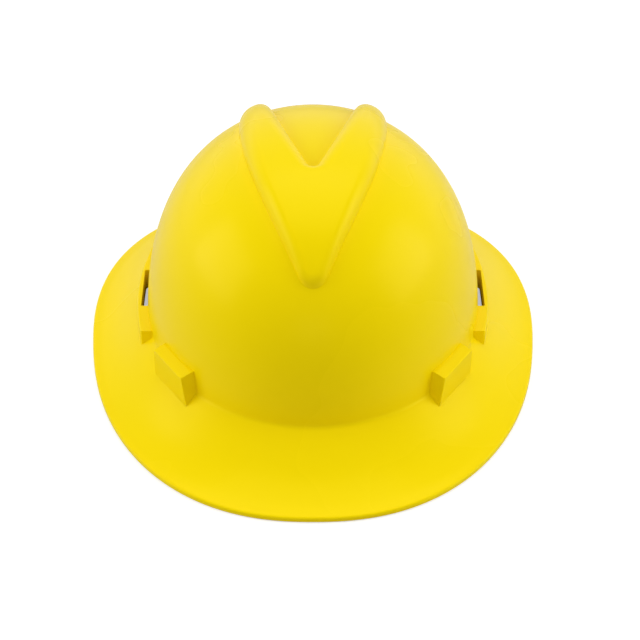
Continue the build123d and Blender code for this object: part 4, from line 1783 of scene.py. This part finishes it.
@dataclass
class NapePad:
    """Soft pad on the wearer's side of the housing, blown up like filled cloth."""

    half_width: float = 29.0 * MM
    half_height: float = 12.2 * MM
    front_y: float = 83.4 * MM
    rear_y: float = 86.3 * MM
    middle_z: float = 27.0 * MM
    corner_radius: float = 6.0 * MM
    edge_radius: float = 1.2 * MM
    voxel: float = 1.1 * MM
    held_depth: float = 0.6 * MM
    pressure: float = 4.0
    frames: int = 20
    cap: float = 2.6 * MM
    channel_x: float = 10.0 * MM
    channel_depth: float = 0.9 * MM
    channel_width: float = 1.6 * MM
    channel_reach: float = 0.8 * MM
    channel_stitches: int = 7
    stitch_pitch: float = 2.9 * MM
    stitch_length: float = 2.0 * MM
    stitch_radius: float = 0.28 * MM
    fill: float = 0.6

    def blank(self) -> Piece:
        """Rounded block that the pad starts as.

        Returns:
            The block in small even faces.
        """
        deselect()
        bpy.ops.mesh.primitive_cube_add(size=1, location=(0, 0, 0))
        block = bpy.context.object
        block.name = "nape_cushion"
        size = (2 * self.half_width, self.rear_y - self.front_y, 2 * self.half_height, 1)
        block.data.transform(Matrix.Translation((0, (self.rear_y + self.front_y) / 2, self.middle_z))
                             @ Matrix.Diagonal(size))
        round_edges(block, lambda middle, way: abs(way.y) > UPRIGHT, self.corner_radius, steps=8)
        round_edges(block, lambda middle, way: middle.y < self.front_y + WELD, self.edge_radius, steps=3)
        modified(block, "REMESH", mode="VOXEL", voxel_size=self.voxel, use_smooth_shade=True)
        return block

    def blow(self, pad: Piece) -> None:
        """Fill the pad with pressure, held at its back, and cap how far it swells.

        Args:
            pad: block to fill.
        """
        before = [vertex.co.copy() for vertex in pad.data.vertices]
        group = pad.vertex_groups.new(name="held")
        group.add([v.index for v in pad.data.vertices if v.co.y > self.rear_y - self.held_depth], 1.0, "REPLACE")
        activate(pad)
        cloth = pad.modifiers.new("filling", "CLOTH")
        cloth.settings.use_pressure = True
        cloth.settings.uniform_pressure_force = self.pressure
        cloth.settings.vertex_group_mass = group.name
        cloth.settings.effector_weights.gravity = 0
        cloth.point_cache.frame_start, cloth.point_cache.frame_end = 1, self.frames
        for step in range(1, self.frames + 1):
            bpy.context.scene.frame_set(step)
        bpy.ops.object.modifier_apply(modifier=cloth.name)
        bpy.context.scene.frame_set(1)
        for vertex, start in zip(pad.data.vertices, before):
            moved = vertex.co - start
            if moved.length > self.cap:
                vertex.co = start + moved.normalized() * self.cap

    def channel_places(self, pad: Piece) -> list[tuple[Vector, Vector, Vector]]:
        """Find the stitches of the two channels.

        Args:
            pad: pad with its channels pressed in.

        Returns:
            Middle, direction along the thread and direction out of the cloth of each stitch.
        """
        places = []
        for x in (-self.channel_x, self.channel_x):
            for step in range(self.channel_stitches):
                z = self.middle_z + (step - self.channel_stitches // 2) * self.stitch_pitch
                near = [v.co.y for v in pad.data.vertices if math.hypot(v.co.x - x, v.co.z - z) < 2 * self.voxel]
                places.append((Vector((x, min(near), z)), UP, Vector((0, -1, 0))))
        return places

    def build(self, cloth: Material, thread: Material) -> None:
        """Build the pad and sew its two channels.

        Args:
            cloth: finish of the knit.
            thread: finish of the stitches.
        """
        pad = self.blank()
        self.blow(pad)
        for vertex in pad.data.vertices:
            if vertex.co.y < self.front_y + self.channel_reach:
                near = abs(abs(vertex.co.x) - self.channel_x)
                vertex.co.y += math.exp(-(near / self.channel_width) ** 2) * self.channel_depth
        modified(pad, "SMOOTH", factor=0.5, iterations=2)
        smooth(pad, sharp_degrees=80)
        seam = stitches("nape_stitches", self.channel_places(pad), self.stitch_length, self.stitch_radius)
        for piece, material in ((pad, cloth), (seam, thread)):
            stand_in(piece, material, "nape_pad", "nape")
        log.info("nape pad: %d faces", len(pad.data.polygons))


def dress_packed(finishes: dict[str, Material]) -> None:
    """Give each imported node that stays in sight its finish.

    Args:
        finishes: finish for each material slot.
    """
    for row in frame["record"]["subparts"]:
        if row["material_slot"] in finishes:
            dress(frame["nodes"][row["node"]], finishes[row["material_slot"]])
    log.info("packed nodes: finishes for %s", ", ".join(sorted(finishes)))


# Studio


@dataclass
class Studio:
    """Pale floor, soft light and the camera at the photograph's angle."""

    camera_distance: float = 1.2
    camera_elevation: float = 37.5
    camera_lens: float = 108.6
    camera_shift: float = 0.0111
    camera_target: tuple[float, float, float] = (0.0, -0.001, 0.0207)
    lamp_target: tuple[float, float, float] = (0.0, 0.0, 0.06)
    floor_half_size: float = 4.0
    floor_drop: float = 0.3 * MM
    floor_colour: Colour = (0.62, 0.62, 0.62)
    floor_roughness: float = 0.9
    floor_glow: float = 0.5
    fade_start: float = 0.5
    fade_end: float = 1.3
    world_light: float = 0.32

    def floor(self) -> None:
        """Plain pale floor that the camera sees as white away from the hat."""
        deselect()
        bpy.ops.mesh.primitive_plane_add(size=2 * self.floor_half_size, location=(0, 0, -self.floor_drop))
        plane = bpy.context.object
        plane.name = "studio_floor"
        material, nodes, shader = new_material("studio_floor")
        seen = nodes.add("ShaderNodeLightPath").outputs["Is Camera Ray"]
        where = nodes.add("ShaderNodeTexCoord").outputs["Object"]
        far = nodes.add("ShaderNodeVectorMath", {0: where}, operation="LENGTH").outputs["Value"]
        glow = nodes.add("ShaderNodeMapRange", {0: far, 1: self.fade_start, 2: self.fade_end, 3: self.floor_glow,
                                                4: 1.0})
        nodes.fill(shader, {"Base Color": shade(self.floor_colour), "Roughness": self.floor_roughness,
                            "Emission Color": (1, 1, 1, 1),
                            "Emission Strength": nodes.math("MULTIPLY", seen, glow.outputs[0])})
        plane.data.materials.append(material)

    def lamp(self, name: str, place: tuple[float, float, float], size: tuple[float, float], power: float) -> None:
        """Add a soft rectangular lamp that looks at the hat.

        Args:
            name: name of the lamp.
            place: where it stands.
            size: its width and height.
            power: its power in watts.
        """
        data = bpy.data.lights.new(name, "AREA")
        data.shape = "RECTANGLE"
        data.size, data.size_y = size
        data.energy = power
        lamp = bpy.data.objects.new(name, data)
        bpy.context.scene.collection.objects.link(lamp)
        lamp.location = place
        lamp.rotation_euler = (Vector(self.lamp_target) - lamp.location).to_track_quat("-Z", "Y").to_euler()

    def world(self) -> None:
        """White surroundings for what looks at them, softer ones as light."""
        world = bpy.data.worlds.new("studio")
        bpy.context.scene.world = world
        world.use_nodes = True
        nodes = Nodes(world.node_tree)
        path = nodes.add("ShaderNodeLightPath").outputs
        seen = nodes.math("MAXIMUM", path["Is Camera Ray"],
                          nodes.math("MAXIMUM", path["Is Glossy Ray"], path["Is Transmission Ray"]))
        level = nodes.add("ShaderNodeMapRange", {0: seen, 3: self.world_light, 4: 1.0}).outputs[0]
        nodes.fill(world.node_tree.nodes["Background"], {"Color": (1, 1, 1, 1), "Strength": level})

    def camera(self) -> None:
        """Camera at the photograph's angle."""
        data = bpy.data.cameras.new("camera")
        data.lens = self.camera_lens
        data.shift_x = self.camera_shift
        camera = bpy.data.objects.new("camera", data)
        bpy.context.scene.collection.objects.link(camera)
        tilt = math.radians(self.camera_elevation)
        back = Vector((0, -math.cos(tilt), math.sin(tilt)))
        camera.location = Vector(self.camera_target) + self.camera_distance * back
        camera.rotation_euler = (-back).to_track_quat("-Z", "Y").to_euler()
        bpy.context.scene.camera = camera

    def build(self) -> None:
        """Set up the whole studio."""
        bpy.context.scene.view_settings.view_transform = "Standard"
        self.floor()
        self.world()
        self.camera()
        self.lamp("overhead", (0.0, 0.25, 1.5), (1.2, 1.2), power=9.0)
        for side in Side:
            self.lamp(f"side_{side.name.lower()}", (side.value * 1.4, -0.1, 0.75), (1.1, 1.0), power=10.5)
        self.lamp("front_fill", (0.0, -1.9, 0.6), (0.8, 0.5), power=2.4)
        log.info("studio: floor, world, camera and lamps")


def main() -> None:
    """Build the pieces in order."""
    logging.basicConfig(level=logging.INFO, format="%(name)s %(message)s")
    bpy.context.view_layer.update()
    Studio().build()
    yellow = MouldedPlastic("shell_yellow", (0.96, 0.73, 0.001), 0.27, tone_share=0.015, wave_size=9 * MM,
                            grain_size=1.1 * MM, grain_share=0.12, depth=0.012 * MM, index=1.28,
                            gloss_tint=(1.0, 0.8, 0.1)).build()
    Shell().build(yellow)
    thread = MouldedPlastic("sewing_thread", (0.16, 0.16, 0.17), 0.6, grain_size=0.1 * MM, wave_size=1 * MM).build()
    webbing = WovenFabric("strap_webbing", (0.075, 0.078, 0.085), 330, 96, depth=0.16 * MM).build()
    knit = WovenFabric("brow_knit", (0.030, 0.030, 0.034), 520, 110, depth=0.10 * MM).build()
    foam_knit = SoftKnit("nape_knit", (0.026, 0.026, 0.029)).build()
    band = MouldedPlastic("band_grey", (0.030, 0.032, 0.035), 0.42, wave_size=5 * MM, grain_size=0.3 * MM,
                          depth=0.012 * MM).build()
    CrownStraps().build(webbing, thread)
    Sweatband().build(knit, thread)
    BandArms().build(band)
    NapePad().build(foam_knit, thread)
    dress_packed({
        "key_plastic": MouldedPlastic("key_nylon", (0.022, 0.022, 0.024), 0.48, grain_size=0.25 * MM, grain_share=0.6,
                                      depth=0.015 * MM).build(),
        "band_plastic": band,
        "housing_plastic": MouldedPlastic("housing_spark", (0.018, 0.018, 0.020), 0.58, wave_size=3 * MM,
                                          grain_size=0.28 * MM, grain_share=1.6, depth=0.03 * MM).build(),
        "knob_plastic": MouldedPlastic("knob_satin", (0.014, 0.014, 0.016), 0.38, grain_size=0.2 * MM,
                                       depth=0.008 * MM).build(),
        "gear_plastic": MouldedPlastic("gear_acetal", (0.68, 0.66, 0.60), 0.35, tone_share=0.02, scatter=0.15,
                                       depth=0.006 * MM).build(),
        "screw_steel": PlatedMetal("screw_zinc", (0.62, 0.62, 0.63), 0.28).build(),
    })
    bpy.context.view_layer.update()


if __name__ == "__main__":
    main()
